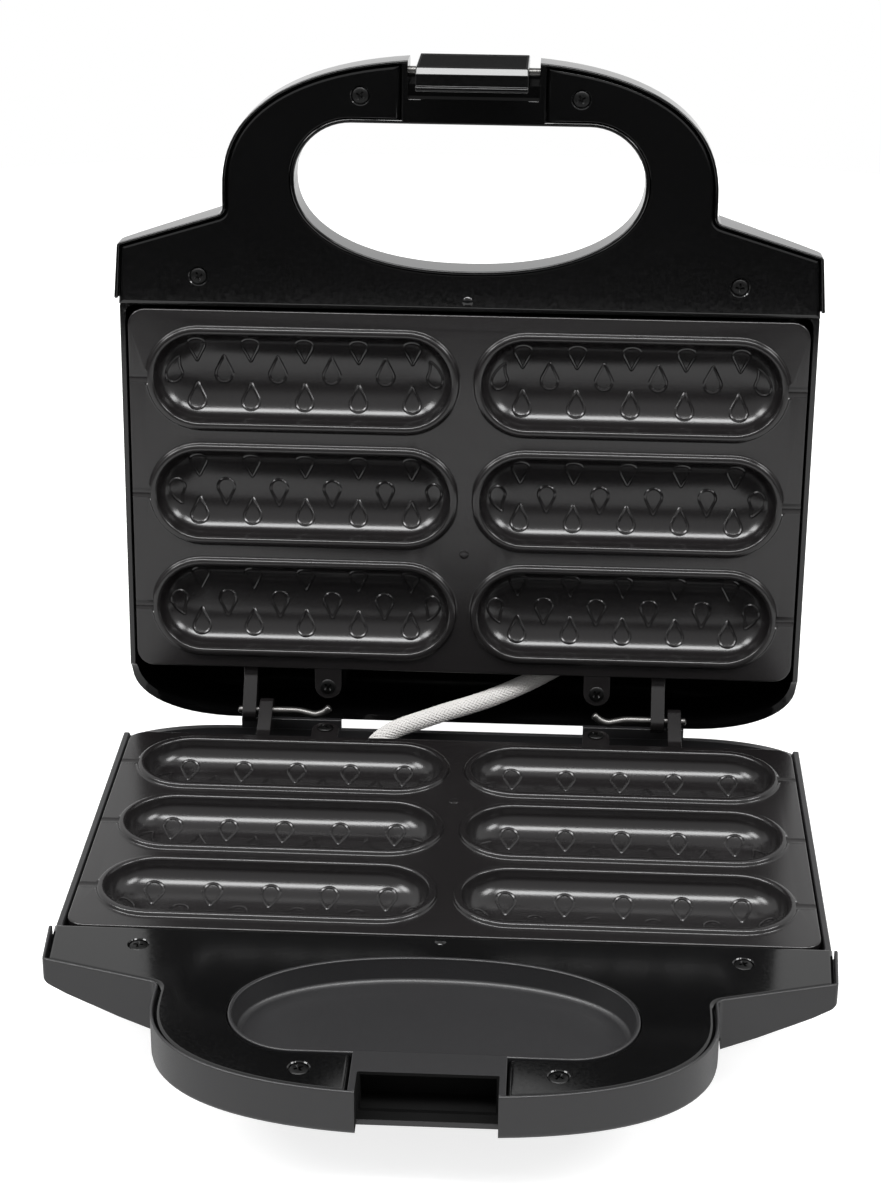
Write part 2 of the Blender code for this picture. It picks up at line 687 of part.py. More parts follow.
def make_reflector(name, frame):
    outline = rounded_rectangle(106.0 * MM, 21.0 * MM, 137.0 * MM, 6.0 * MM, 2)
    add_object(name, prism(outline, REFLECTOR_TOP, REFLECTOR_BOTTOM), frame, "aluminium")


def make_thermostat(frame):
    top = REFLECTOR_BOTTOM + GAP
    steps = ((9.0 * MM, top), (9.0 * MM, top + 1.1 * MM), (7.5 * MM, top + 1.1 * MM), (7.5 * MM, top + 8.2 * MM),
             (4.0 * MM, top + 8.2 * MM), (4.0 * MM, top + 10.2 * MM))
    add_object("thermostat", post(0.0, CAVITY_ROWS[1], steps, 14), frame, "ceramic")


def make_thermal_fuse(frame):
    body = rod_across(25.0 * MM, 51.0 * MM, CAVITY_ROWS[1], REFLECTOR_BOTTOM + 3.4 * MM, 2.2 * MM, 10)
    add_object("thermal_fuse", body, frame, "ceramic")


def make_terminal_block(frame):
    block = prism(rectangle(58.0 * MM, 82.0 * MM, 16.0 * MM, 26.0 * MM), 26.5 * MM, 35.2 * MM)
    made = add_object("terminal_block", block, frame, "ceramic")
    grooves = []
    for x in (66.0 * MM, 74.0 * MM):
        grooves.append(prism(rectangle(x - 0.8 * MM, x + 0.8 * MM, 15.0 * MM, 27.0 * MM), 26.0 * MM, 29.5 * MM))
    combine(made, "DIFFERENCE", together(grooves))


def make_inlet_bush(frame):
    """Bush in the rear wall where the supply cord would come in."""
    steps = ((6.2 * MM, -9.6 * MM), (7.4 * MM, -9.0 * MM), (7.4 * MM, -7.4 * MM), (BUSH_NECK_RADIUS, -7.4 * MM),
             (BUSH_NECK_RADIUS, -1.5 * MM))
    bush = add_object("inlet_bush", turned_along(INLET_X, INLET_DEPTH, steps), frame, "rubber")
    combine(bush, "DIFFERENCE", turned_along(INLET_X, INLET_DEPTH, ((3.2 * MM, -12.0 * MM), (3.2 * MM, 1.0 * MM))))


def make_feet(frame):
    places = {"rear_left": (-88.0, 27.0), "rear_right": (88.0, 27.0),
              "front_left": (-88.0, 102.0), "front_right": (88.0, 102.0)}
    steps = ((8.0 * MM, BODY_DEPTH + GAP), (8.0 * MM, BODY_DEPTH + 2.6 * MM), (6.8 * MM, HINGE_HEIGHT))
    for word, (x, s) in places.items():
        add_object(f"foot_{word}", post(x * MM, s * MM, steps, 14), frame, "rubber")


def make_lamp(word, frame, side, finish):
    """Lens through the lid's outer face, and the small neon lamp behind it."""
    x = side * LAMP_SIDE
    flange = BODY_DEPTH - WALL - GAP
    lens = ((5.0 * MM, 33.2 * MM), (5.0 * MM, flange), (LAMP_RADIUS, flange),
            (LAMP_RADIUS, BODY_DEPTH + 0.2 * MM), (2.2 * MM, BODY_DEPTH + 1.1 * MM))
    add_object(f"{word}_lamp_lens", post(x, LAMP_FORWARD, lens), frame, finish)
    lamp = ((1.2 * MM, 22.5 * MM), (2.2 * MM, 23.5 * MM), (2.2 * MM, 32.0 * MM), (1.2 * MM, 32.9 * MM))
    add_object(f"{word}_lamp", post(x, LAMP_FORWARD, lamp, 10), frame, "ceramic")


# Latch

def make_latch_clip(frame):
    """Flap on the lid's pin. Points are (s, depth) from the pin; the tooth hooks under the base's ledge."""
    front = LATCH_FRONT
    profile = [
        (front, 1.2 * MM), (front - 0.2 * MM, -4.0 * MM), (front - 1.0 * MM, -27.4 * MM),
        (front - 1.8 * MM, -28.3 * MM), (2.2 * MM, -28.3 * MM), (0.0, -26.4 * MM), (0.1 * MM, -24.0 * MM),
        (1.8 * MM, -23.3 * MM), (2.2 * MM, -5.0 * MM),
    ]
    profile += arc(0.0, 0.0, LATCH_HUB_RADIUS, -75.0, -300.0, 9)
    profile += [(front - 1.0 * MM, 2.0 * MM)]
    clip = add_object(
        "latch_clip", side_prism(profile, -LATCH_HALF_WIDTH, LATCH_HALF_WIDTH), frame, "black_plastic")
    bore = rod_across(-LATCH_HALF_WIDTH - SINK, LATCH_HALF_WIDTH + SINK, 0.0, 0.0, LATCH_BORE_RADIUS)
    combine(clip, "DIFFERENCE", bore)
    return clip


def make_latch_pin(frame):
    half_length = LID_NOTCH_HALF_WIDTH + PIN_HOLE_DEPTH
    pin = rod_across(-half_length, half_length, 0.0, 0.0, LATCH_PIN_RADIUS)
    add_object("latch_pin", pin, frame, "steel")


# Wiring sleeve from the base to the lid, as (x, back, up) from the hinge axis

SLEEVE_ROUTE = (
    (-60.0, -44.0, -27.0),
    (-49.0, -24.0, -25.5),
    (-37.0, -8.0, -17.0),
    (-27.0, -2.0, -7.5),
    (-10.0, 2.0, -1.5),
    (10.0, 6.5, 4.0),
    (29.0, 14.0, 10.5),
    (42.0, 26.0, 15.5),
    (52.0, 30.0, 38.0),
)


def make_sleeve(frame):
    through = [Vector(point) * MM for point in SLEEVE_ROUTE]
    route = smooth_route(through, 2.0 * SLEEVE_RADIUS)
    add_tube("wiring_sleeve", route, SLEEVE_RADIUS, frame, "woven_glass", 2)


# Frames

def add_frame(name, location, parent=None, rotation=(0.0, 0.0, 0.0)):
    frame = bpy.data.objects.new(name, None)
    bpy.context.scene.collection.objects.link(frame)
    frame.parent = parent
    frame.location = location
    frame.rotation_euler = rotation
    return frame


def make_half(half, frame, centre, slot_half_width):
    make_handle_cover(f"{half}_handle_cover", frame, centre, slot_half_width)
    make_cooking_plate(f"{half}_cooking_plate", frame)
    make_heater(f"{half}_heating_element", frame)
    make_reflector(f"{half}_heat_reflector", frame)
    make_screws(half, frame)


def main():
    hinge = Vector((0.0, HINGE_BACK, HINGE_HEIGHT))
    base = add_frame("base_frame", hinge)
    facing = (math.radians(OPEN_ANGLE - 180.0), 0.0, math.pi)
    lid = add_frame("lid_frame", hinge, rotation=facing)

    make_base_housing(base)
    make_half("base", base, 0.0, BASE_SLOT_HALF_WIDTH)
    make_hinge_pin("hinge_pin_left", base, -1.0)
    make_hinge_pin("hinge_pin_right", base, 1.0)
    make_thermostat(base)
    make_thermal_fuse(base)
    make_terminal_block(base)
    make_inlet_bush(base)
    make_feet(base)

    make_lid_housing(lid)
    make_half("lid", lid, -LATCH_CENTRE, LID_NOTCH_HALF_WIDTH)
    make_lamp("power", lid, -1.0, "red_lens")
    make_lamp("ready", lid, 1.0, "green_lens")

    latch = add_frame("latch_frame", place(-LATCH_CENTRE, LATCH_PIVOT_FORWARD, LATCH_PIVOT_DEPTH), lid)
    make_latch_clip(latch)
    make_latch_pin(latch)
    make_sleeve(base)


for old in list(bpy.context.scene.objects):
    bpy.data.objects.remove(old)
MATERIALS = {name: material(name, *look) for name, look in FINISHES.items()}
main()
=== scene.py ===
"""Looks of the corn dog maker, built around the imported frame.

The detailed pieces are modelled in one half frame. Its origin lies on the hinge axis, X runs along that
axis, s is the distance from the axis towards the handle, and depth is the distance below the parting plane.
The base half stands on its feet. The lid half is the same half turned to face it, shown fully open.
"""

import math

import bmesh
import bpy
from mathutils import Euler, Matrix, Vector


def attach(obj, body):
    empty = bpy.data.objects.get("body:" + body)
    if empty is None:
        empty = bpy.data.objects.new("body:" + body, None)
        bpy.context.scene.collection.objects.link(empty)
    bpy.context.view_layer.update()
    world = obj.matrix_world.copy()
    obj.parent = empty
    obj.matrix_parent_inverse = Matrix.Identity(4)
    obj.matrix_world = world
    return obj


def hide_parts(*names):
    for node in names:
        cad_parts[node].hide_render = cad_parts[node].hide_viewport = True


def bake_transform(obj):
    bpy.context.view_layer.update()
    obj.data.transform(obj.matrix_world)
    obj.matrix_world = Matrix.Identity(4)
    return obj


MM = 0.001

# Placing
OPEN_ANGLE = 94.85
BODY_DEPTH = 38.0 * MM
HINGE_HEIGHT = 42.0 * MM
HINGE_BACK = 93.36 * MM

# Fits
GAP = 0.3 * MM
WALL = 2.2 * MM
RIM = 0.9 * MM                # width of the rim around the covers
SINK = 1.0 * MM

# Shell body
BODY_HALF_WIDTH = 120.3 * MM
BODY_REAR = -7.0 * MM
BODY_FRONT = 150.4 * MM
BODY_RIM_DEPTH = 2.6 * MM
REAR_RIM_DEPTH = 10.0 * MM
REAR_CORNER = (40.0 * MM, 19.0 * MM)

# Wings and handle
WING_RIM_DEPTH = 0.2 * MM
WING_START = 150.8 * MM
EAR_HALF_WIDTH = 121.7 * MM
WING_TIP = (120.2 * MM, 170.0 * MM)
NOTCH_CORNER = (83.8 * MM, 181.0 * MM)
HANDLE_HALF_WIDTH = 83.8 * MM
HANDLE_BASE = 188.0 * MM
HANDLE_FRONT = 234.0 * MM
HANDLE_ROUNDING = 2.45
HANDLE_DEPTH = 15.0 * MM
HANDLE_FLOOR = 2.0 * MM
BEYOND_HANDLE = HANDLE_FRONT + 4.0 * MM
THROUGH_HANDLE = HANDLE_DEPTH + 5.0 * MM

# Finger opening
OVAL_HALF_WIDTH = 59.3 * MM
OVAL_MIDDLE = 193.0 * MM
OVAL_FRONT = 212.3 * MM
OVAL_REAR = 162.6 * MM
OVAL_ROUNDING = 2.2
OVAL_WALL = 1.3 * MM
OVAL_WALL_TOP = 0.4 * MM
RECESS_DEPTH = 8.0 * MM
RECESS_CURVE = (2.0 * MM, 1.5 * MM)    # width and height of the curve from its wall to its floor
RECESS_LIP = (0.9 * MM, 1.1 * MM)      # width and depth of the step inside the recess's rim

# Handle cover
COVER_TOP = 1.0 * MM
COVER_BOTTOM = 3.2 * MM
COVER_START = 148.5 * MM
COVER_EDGE = 1.6 * MM
COVER_SCREWS = ((36.9 * MM, 221.3 * MM), (92.5 * MM, 158.9 * MM))
SCREW_HEAD_RADIUS = 2.8 * MM
SCREW_SHANK_RADIUS = 1.5 * MM
SCREW_HOLE_RADIUS = 1.85 * MM
BOSS_RADIUS = 3.9 * MM

# Cooking plate
PLATE_HALF_WIDTH = 117.6 * MM
PLATE_REAR = 15.5 * MM
PLATE_FRONT = 147.0 * MM
PLATE_CORNER = 6.0 * MM
PLATE_TOP = 2.0 * MM
PLATE_BOTTOM = 4.4 * MM
RIDGE_TOP = 0.5 * MM
RIDGE_RADIUS = 18.2 * MM
RIDGE_WIDTH = 2.6 * MM
CAVITY_MIDDLE = 57.0 * MM
CAVITY_STRAIGHT = 36.1 * MM
CAVITY_RADIUS = RIDGE_RADIUS - RIDGE_WIDTH
CAVITY_DEPTH = 10.2 * MM
CAVITY_ROUNDING = 2.6
CAVITY_ROWS = (38.6 * MM, 80.7 * MM, 122.7 * MM)
CASTING_WALL = 2.3 * MM
GROOVE_RADIUS = 3.6 * MM
GROOVE_FLOOR = 2.5 * MM

# Embossed drops in the dishes
DROP_HALF_WIDTH = 3.0 * MM
DROP_LENGTH = 9.8 * MM
DROP_LINE = 0.58 * MM
DROP_SINK = 0.08 * MM
DROP_SPACING = 18.9 * MM
DROP_ROWS = (-8.2 * MM, 8.9 * MM)      # from the middle of the dish, along its surface
DROP_END_ROW = 9.9 * MM
DROP_SHIFT = 1.6 * MM         # of the middle row towards its tips

# Hinge
LUG_RADIUS = 4.3 * MM
LUG_WIDTH = 4.9 * MM
LUG_PLACES = (-70.5 * MM, 76.5 * MM)
HINGE_SCREEN = (44.0 * MM, 80.5 * MM)
HINGE_SCREEN_TOP = 6.0 * MM
PIN_RADIUS = 1.4 * MM
PLATE_SCREW_SIDE = 48.5 * MM
PLATE_SCREW_FORWARD = 9.0 * MM
TAB_RADIUS = 4.8 * MM
TAB_TOP = PLATE_TOP + 0.2 * MM

# Latch
LATCH_CENTRE = 1.0 * MM
LATCH_HALF_WIDTH = 18.4 * MM
LATCH_PIVOT_FORWARD = 229.0 * MM
LATCH_PIVOT_DEPTH = 8.0 * MM
LATCH_HUB_RADIUS = 3.5 * MM
LATCH_FRONT = 5.6 * MM
LATCH_BORE_RADIUS = 1.85 * MM
LATCH_PIN_RADIUS = 1.5 * MM
LID_NOTCH_HALF_WIDTH = 22.0 * MM
BASE_SLOT_HALF_WIDTH = 20.2 * MM
SLOT_BACK = 225.0 * MM
BASE_SLOT_BACK = 222.8 * MM
CHEEK = 2.0 * MM
NOTCH_FLOOR = 12.4 * MM
LEDGE_FRONT = 228.3 * MM
LEDGE_TOP = 12.9 * MM
STRIP_DEPTH = 1.5 * MM        # underside of the strip between the recess and the slot
NOTCH_STEP = (220.6 * MM, 4.2 * MM)

# Inlet, lamps and sleeve
INLET_X = 60.0 * MM
INLET_DEPTH = 23.0 * MM
BUSH_NECK_RADIUS = 4.95 * MM
LAMP_SIDE = 12.0 * MM
LAMP_FORWARD = 104.0 * MM
LAMP_RADIUS = 3.3 * MM
SLEEVE_RADIUS = 3.4 * MM

# Feet and screws
FOOT_SIDE = 88.0 * MM
FOOT_ROWS = (("rear", 27.0 * MM), ("front", 102.0 * MM))
COVER_SCREW_END = 10.5 * MM
PLATE_SCREW_END = 14.5 * MM

# Places that repeat, as (x, s)
SCREW_PLACES = [(side * x, s) for x, s in COVER_SCREWS for side in (-1.0, 1.0)]
PLATE_SCREW_PLACES = [(side * PLATE_SCREW_SIDE, PLATE_SCREW_FORWARD) for side in (-1.0, 1.0)]
CAVITY_PLACES = [(side * CAVITY_MIDDLE, row) for row in CAVITY_ROWS for side in (-1.0, 1.0)]

# Camera, found from the photograph's own perspective
CAMERA_PLACE = (0.0306, -0.73484, 0.4626)
CAMERA_PITCH = 24.34
CAMERA_YAW = -2.624
CAMERA_ROLL = 0.449
CAMERA_LENS = 77.08
CAMERA_SHIFT = -0.00125


# Frames of the two halves

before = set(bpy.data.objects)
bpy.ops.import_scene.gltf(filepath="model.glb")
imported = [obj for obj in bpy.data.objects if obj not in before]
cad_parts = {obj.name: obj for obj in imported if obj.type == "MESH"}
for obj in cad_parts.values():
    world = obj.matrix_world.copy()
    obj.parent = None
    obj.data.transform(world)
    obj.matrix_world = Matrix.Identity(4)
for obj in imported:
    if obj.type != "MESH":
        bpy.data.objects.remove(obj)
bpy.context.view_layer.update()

HINGE = Matrix.Translation((0.0, HINGE_BACK, HINGE_HEIGHT))
FACING = Euler((math.radians(OPEN_ANGLE - 180.0), 0.0, math.pi)).to_matrix().to_4x4()
HALVES = {"base": HINGE, "lid": HINGE @ FACING}


# Outlines, as lists of (x, s, corner radius), anticlockwise

def superellipse_quarter(half_width, height, exponent, count):
    """Points from (half_width, 0) round to (0, height)."""
    points = []
    for step in range(count + 1):
        angle = 0.5 * math.pi * step / count
        across = half_width * abs(math.cos(angle)) ** (2.0 / exponent)
        along = height * abs(math.sin(angle)) ** (2.0 / exponent)
        points.append((across, along))
    return points


def arc(centre_x, centre_s, radius, start, end, count):
    points = []
    for step in range(count + 1):
        angle = math.radians(start + (end - start) * step / count)
        points.append((centre_x + radius * math.cos(angle), centre_s + radius * math.sin(angle), 0.0))
    return points


def circle(centre_x, centre_s, radius, count=32):
    return arc(centre_x, centre_s, radius, 0.0, 360.0 * (count - 1) / count, count - 1)


def both_sides(right):
    """Closes an outline from its right side, listed from the rear to the front."""
    left = [(-x, s, radius) for x, s, radius in reversed(right) if x > 1e-7]
    return right + left


def rectangle(centre_x, half_width, rear, front, radius=0.0):
    left = centre_x - half_width
    right = centre_x + half_width
    return [(left, rear, radius), (right, rear, radius), (right, front, radius), (left, front, radius)]


def stadium(centre_x, centre_s, straight, radius, count=20):
    right_end = arc(centre_x + straight, centre_s, radius, -90.0, 90.0, count)
    left_end = arc(centre_x - straight, centre_s, radius, 90.0, 270.0, count)
    return right_end + left_end


def body_outline(half_width, rear, front):
    corner_width, corner_length = REAR_CORNER
    right = []
    for across, along in reversed(superellipse_quarter(corner_width, corner_length, 2.3, 14)):
        right.append((half_width - corner_width + across, rear + corner_length - along, 0.0))
    right += arc(half_width - 3.0 * MM, front - 3.0 * MM, 3.0 * MM, 0.0, 90.0, 5)
    return both_sides(right)


def handle_front(thinner, count):
    """Right half of the handle's round front."""
    quarter = superellipse_quarter(
        HANDLE_HALF_WIDTH - thinner, HANDLE_FRONT - HANDLE_BASE - thinner, HANDLE_ROUNDING, count)
    return [(x, HANDLE_BASE + s, 0.0) for x, s in quarter]


def handle_outline(rear, side_rear, start=()):
    """Plan of the wings and the handle, from a half width side_rear at the rear."""
    corners = [(side_rear, rear, 0.5 * MM), (*WING_TIP, 1.5 * MM), (*NOTCH_CORNER, 2.4 * MM)]
    return both_sides([*start, *corners, *handle_front(0.0, 26)])


def oval_outline(grow=0.0):
    """Finger opening: a flat front with round corners, and a long curve on the hinge side."""
    rear_curve = superellipse_quarter(
        OVAL_HALF_WIDTH + grow, OVAL_MIDDLE - OVAL_REAR + grow, OVAL_ROUNDING, 24)
    right = [(x, OVAL_MIDDLE - s, 0.0) for x, s in reversed(rear_curve)]
    corner = OVAL_FRONT - OVAL_MIDDLE
    right += arc(OVAL_HALF_WIDTH - corner, OVAL_MIDDLE, corner + grow, 0.0, 90.0, 14)[1:]
    return both_sides(right)


def drawn_in(corners, distance):
    """The outline, moved inwards by a distance. Round corners keep their centres."""
    moved = []
    for index, (x, s, radius) in enumerate(corners):
        here = Vector((x, s))
        first = (here - Vector(corners[index - 1][:2])).normalized()
        second = (Vector(corners[(index + 1) % len(corners)][:2]) - here).normalized()
        inward_first = Vector((-first.y, first.x))
        inward_second = Vector((-second.y, second.x))
        mitre = (inward_first + inward_second) / (1.0 + inward_first.dot(inward_second))
        if radius > 0.0:
            turns_left = first.x * second.y - first.y * second.x > 0.0
            radius = max(radius - distance if turns_left else radius + distance, 0.05 * MM)
        place_now = here + mitre * distance
        moved.append((place_now.x, place_now.y, radius))
    return moved


def rounded(corners):
    """The outline's points, with an arc in place of each corner that has a radius."""
    points = []
    for index, (x, s, radius) in enumerate(corners):
        if radius <= 0.0:
            points.append((x, s))
            continue
        here = Vector((x, s))
        back = (Vector(corners[index - 1][:2]) - here).normalized()
        ahead = (Vector(corners[(index + 1) % len(corners)][:2]) - here).normalized()
        half_angle = 0.5 * back.angle(ahead)
        centre = here + (back + ahead).normalized() * (radius / math.sin(half_angle))
        first = here + back * (radius / math.tan(half_angle)) - centre
        last = here + ahead * (radius / math.tan(half_angle)) - centre
        turn = math.pi - 2.0 * half_angle
        count = max(2, math.ceil(turn / math.radians(18.0)))
        for step in range(count + 1):
            share = step / count
            arm = first * math.sin((1.0 - share) * turn) + last * math.sin(share * turn)
            point = centre + arm / math.sin(turn)
            points.append((point.x, point.y))
    return points


# Solids in the half frame

def place(x, s, depth):
    return Vector((x, -s, -depth))


def add_rings(mesh, rings, closed_ends=True):
    """Joins rings of points of equal count into a skin."""
    loops = [[mesh.verts.new(point) for point in ring] for ring in rings]
    count = len(loops[0])
    for upper, lower in zip(loops, loops[1:]):
        for index in range(count):
            after = (index + 1) % count
            mesh.faces.new((upper[index], upper[after], lower[after], lower[index]))
    if closed_ends:
        mesh.faces.new(loops[0])
        mesh.faces.new(list(reversed(loops[-1])))
    return loops


def closed(mesh):
    bmesh.ops.recalc_face_normals(mesh, faces=mesh.faces)
    return mesh


def solid(rings):
    mesh = bmesh.new()
    add_rings(mesh, rings)
    return closed(mesh)


def loft(levels):
    """A solid through outlines at rising depths, as (outline, depth)."""
    return solid([[place(x, s, depth) for x, s in rounded(outline)] for outline, depth in levels])


def edge_steps(radius, count=4):
    """(inset, rise) of a rounded edge, from the face to the side."""
    if not radius:
        return [(0.0, 0.0)]
    steps = []
    for step in range(count + 1):
        angle = 0.5 * math.pi * step / count
        steps.append((radius * (1.0 - math.sin(angle)), radius * (1.0 - math.cos(angle))))
    return steps


def slab(outline, top, bottom, top_edge=0.0, bottom_edge=0.0):
    """A flat solid, whose edges can be rounded."""
    levels = [(drawn_in(outline, inset), top + rise) for inset, rise in edge_steps(top_edge)]
    lower = [(drawn_in(outline, inset), bottom - rise) for inset, rise in edge_steps(bottom_edge)]
    return loft(levels + lower[::-1])


def flared(outline, top, bottom, edge):
    """A cutter whose mouth widens, so that the edge it leaves is rounded."""
    levels = [(drawn_in(outline, -edge), top - SINK)]
    levels += [(drawn_in(outline, -inset), top + rise) for inset, rise in edge_steps(edge)]
    levels.append((outline, bottom))
    return loft(levels)


def post(x, s, steps, count=32):
    """A turned piece standing across the plate, as (radius, depth) steps."""
    return loft([(circle(x, s, radius, count), depth) for radius, depth in steps])


def posts(places, steps, count=32):
    return together([post(x, s, steps, count) for x, s in places])


def rods(places, radius, top, bottom, count=32):
    return posts(places, ((radius, top), (radius, bottom)), count)


def turned_along(x, depth, steps, count=40):
    """A turned piece along s, as (radius, s) steps."""
    rings = []
    for radius, s in steps:
        rings.append([place(across_x, s, down) for across_x, down, corner in circle(x, depth, radius, count)])
    return solid(rings)


def across(profile, centre_x, half_width, edge=0.0):
    """A profile of (s, depth, corner radius) points, run along X. Its ends can be rounded."""
    stations = [(centre_x - half_width + rise, inset) for inset, rise in edge_steps(edge)]
    stations += reversed([(centre_x + half_width - rise, inset) for inset, rise in edge_steps(edge)])
    return solid([[place(x, s, depth) for s, depth in rounded(drawn_in(profile, inset))]
                  for x, inset in stations])


def forward(profile, rear, front):
    """A profile of (x, depth) points, run along s."""
    return solid([[place(x, s, depth) for x, depth in profile] for s in (rear, front)])


def together(parts):
    """Several closed solids in one mesh."""
    joined = bmesh.new()
    for part in parts:
        kept = bpy.data.meshes.new("part")
        part.to_mesh(kept)
        part.free()
        joined.from_mesh(kept)
        bpy.data.meshes.remove(kept)
    return joined


# Objects

def add_object(name, mesh):
    data = bpy.data.meshes.new(name)
    mesh.to_mesh(data)
    mesh.free()
    made = bpy.data.objects.new(name, data)
    bpy.context.scene.collection.objects.link(made)
    return made


def applied(target):
    """Makes the target's modifiers final."""
    graph = bpy.context.evaluated_depsgraph_get()
    result = bpy.data.meshes.new_from_object(target.evaluated_get(graph))
    target.modifiers.clear()
    before = target.data
    target.data = result
    bpy.data.meshes.remove(before)


def combine(target, operation, tool):
    """Cuts, joins or intersects the target with another solid."""
    if isinstance(tool, bmesh.types.BMesh):
        tool = add_object("tool", tool)
    step = target.modifiers.new("step", "BOOLEAN")
    step.operation = operation
    step.solver = "EXACT"
    step.object = tool
    applied(target)
    used = tool.data
    bpy.data.objects.remove(tool)
    bpy.data.meshes.remove(used)


def cut(target, tool):
    combine(target, "DIFFERENCE", tool)


def join(target, tool):
    combine(target, "UNION", tool)


def with_relief(piece, relief):
    """Adds small solids that stand half sunk in the piece's surface."""
    main = bmesh.new()
    main.from_mesh(piece.data)
    whole = together([main] + relief)
    whole.to_mesh(piece.data)
    whole.free()
    return piece


def dress(piece, finish, body, node, matrix, sharp=35.0):
    """Smooths a piece, gives it its material and place, and puts it on its body for its CAD node."""
    mesh = bmesh.new()
    mesh.from_mesh(piece.data)
    bmesh.ops.remove_doubles(mesh, verts=mesh.verts, dist=0.01 * MM)
    bmesh.ops.dissolve_degenerate(mesh, edges=mesh.edges, dist=0.005 * MM)
    stray = [face for face in mesh.faces if all(edge.is_boundary for edge in face.edges)]
    bmesh.ops.delete(mesh, geom=stray, context="FACES_ONLY")
    bmesh.ops.delete(mesh, geom=[edge for edge in mesh.edges if edge.is_wire], context="EDGES")
    bmesh.ops.delete(mesh, geom=[vert for vert in mesh.verts if not vert.link_edges], context="VERTS")
    bmesh.ops.holes_fill(mesh, edges=[edge for edge in mesh.edges if edge.is_boundary], sides=4)
    mesh.to_mesh(piece.data)
    mesh.free()
    piece.data.transform(matrix)
    piece.data.materials.clear()
    piece.data.materials.append(finish)
    piece.data.shade_smooth()
    piece.data.set_sharp_from_angle(angle=math.radians(sharp))
    weighted = piece.modifiers.new("weighted", "WEIGHTED_NORMAL")
    weighted.keep_sharp = True
    weighted.weight = 80
    applied(piece)
    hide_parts(node)
    if body:
        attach(piece, body)
    return piece


# Shells

RIM_EDGE = 0.5 * MM           # rounded edges of the moulded pieces
FINE_EDGE = 0.3 * MM
HANDLE_UNDER_EDGE = 2.0 * MM

BODY_LEVELS = (
    # depth, half width less, rear plus, front
    (BODY_RIM_DEPTH, 0.0, 0.0, BODY_FRONT),
    (14.0 * MM, 0.4 * MM, 0.2 * MM, BODY_FRONT),
    (31.0 * MM, 3.0 * MM, 2.5 * MM, 128.0 * MM),
    (36.0 * MM, 8.0 * MM, 7.5 * MM, 119.0 * MM),
    (BODY_DEPTH, 15.0 * MM, 15.0 * MM, 111.0 * MM),
)

WING_UNDERSIDE = (
    # x, depth, corner radius
    (96.0 * MM, 15.4 * MM, 14.0 * MM),
    (113.0 * MM, 11.0 * MM, 8.0 * MM),
    (118.8 * MM, 8.9 * MM, 2.6 * MM),
    (122.5 * MM, 5.0 * MM, 0.0),
    (122.5 * MM, -SINK, 0.0),
)


def eased(levels, pieces):
    """Finer levels along a curve through the given ones, which never overshoots them."""
    slopes = []
    for lower, upper in zip(levels, levels[1:]):
        slopes.append([(b - a) / (upper[0] - lower[0]) for a, b in zip(lower, upper)])
    tangents = [slopes[0]]
    for before, after in zip(slopes, slopes[1:]):
        tangents.append([2.0 * a * b / (a + b) if a * b > 0.0 else 0.0 for a, b in zip(before, after)])
    tangents.append(slopes[-1])
    finer = []
    for index, (lower, upper) in enumerate(zip(levels, levels[1:])):
        span = upper[0] - lower[0]
        for step in range(pieces):
            t = step / pieces
            finer.append([
                a * (1.0 - t) ** 2 * (1.0 + 2.0 * t) + b * t ** 2 * (3.0 - 2.0 * t)
                + span * t * (1.0 - t) * (start * (1.0 - t) - end * t)
                for a, b, start, end in zip(lower, upper, tangents[index], tangents[index + 1])
            ])
    finer.append(list(levels[-1]))
    return finer


def shell_body():
    levels = [(BODY_RIM_DEPTH + rise, inset, inset, BODY_FRONT - inset)
              for inset, rise in edge_steps(RIM_EDGE)]
    levels += eased(BODY_LEVELS, 6)[1:]
    return loft([(body_outline(BODY_HALF_WIDTH - less, BODY_REAR + rear, front), depth)
                 for depth, less, rear, front in levels])


def shell_hollow():
    """Inside of the shell: the same steps, a wall's thickness in, with a rounded mouth."""
    levels = []
    wall = WALL + 0.04 * MM
    for grow, depth in ((FINE_EDGE, -SINK), (FINE_EDGE, BODY_RIM_DEPTH), (0.0, BODY_RIM_DEPTH + FINE_EDGE)):
        half_width = BODY_HALF_WIDTH - wall + 0.2 * MM + grow
        levels.append((body_outline(half_width, BODY_REAR + wall - grow, BODY_FRONT - wall + grow), depth))
    for depth, less, rear, front in BODY_LEVELS[1:]:
        outline = body_outline(BODY_HALF_WIDTH - less - wall, BODY_REAR + rear + wall, front - wall)
        levels.append((outline, depth - (WALL if depth > 30.0 * MM else 0.0)))
    return loft(levels)


def wing_limits(inner):
    """Front view of the wings' undersides; inner gives the part between them."""
    right = rounded([(0.0, -SINK, 0.0), (0.0, inner[0][1], 0.0), *inner, *WING_UNDERSIDE])
    profile = right[1:] + [(-x, depth) for x, depth in reversed(right[2:])]
    return forward(profile, BODY_FRONT - 8.0 * MM, BEYOND_HANDLE)


def wings_and_handle():
    """The slab has a rounded lower edge, and the wings run down past it beside the handle."""
    inner = BODY_HALF_WIDTH - 6.5 * MM
    start = [(inner, BODY_FRONT - 4.0 * MM, 0.0), (inner, WING_START, 0.0)]
    outline = handle_outline(WING_START, EAR_HALF_WIDTH, start)
    wings = add_object("wings", slab(outline, WING_RIM_DEPTH, HANDLE_DEPTH, RIM_EDGE, HANDLE_UNDER_EDGE))
    combine(wings, "INTERSECT", wing_limits([(90.0 * MM, THROUGH_HANDLE, 0.0)]))
    deep = add_object("deep", slab(drawn_in(outline, 0.04 * MM), 2.0 * MM, THROUGH_HANDLE))
    beside = HANDLE_HALF_WIDTH + 1.3 * MM
    combine(deep, "INTERSECT", wing_limits([(beside, 12.0 * MM, 0.0), (beside, 17.6 * MM, 0.0)]))
    join(wings, deep)
    return wings


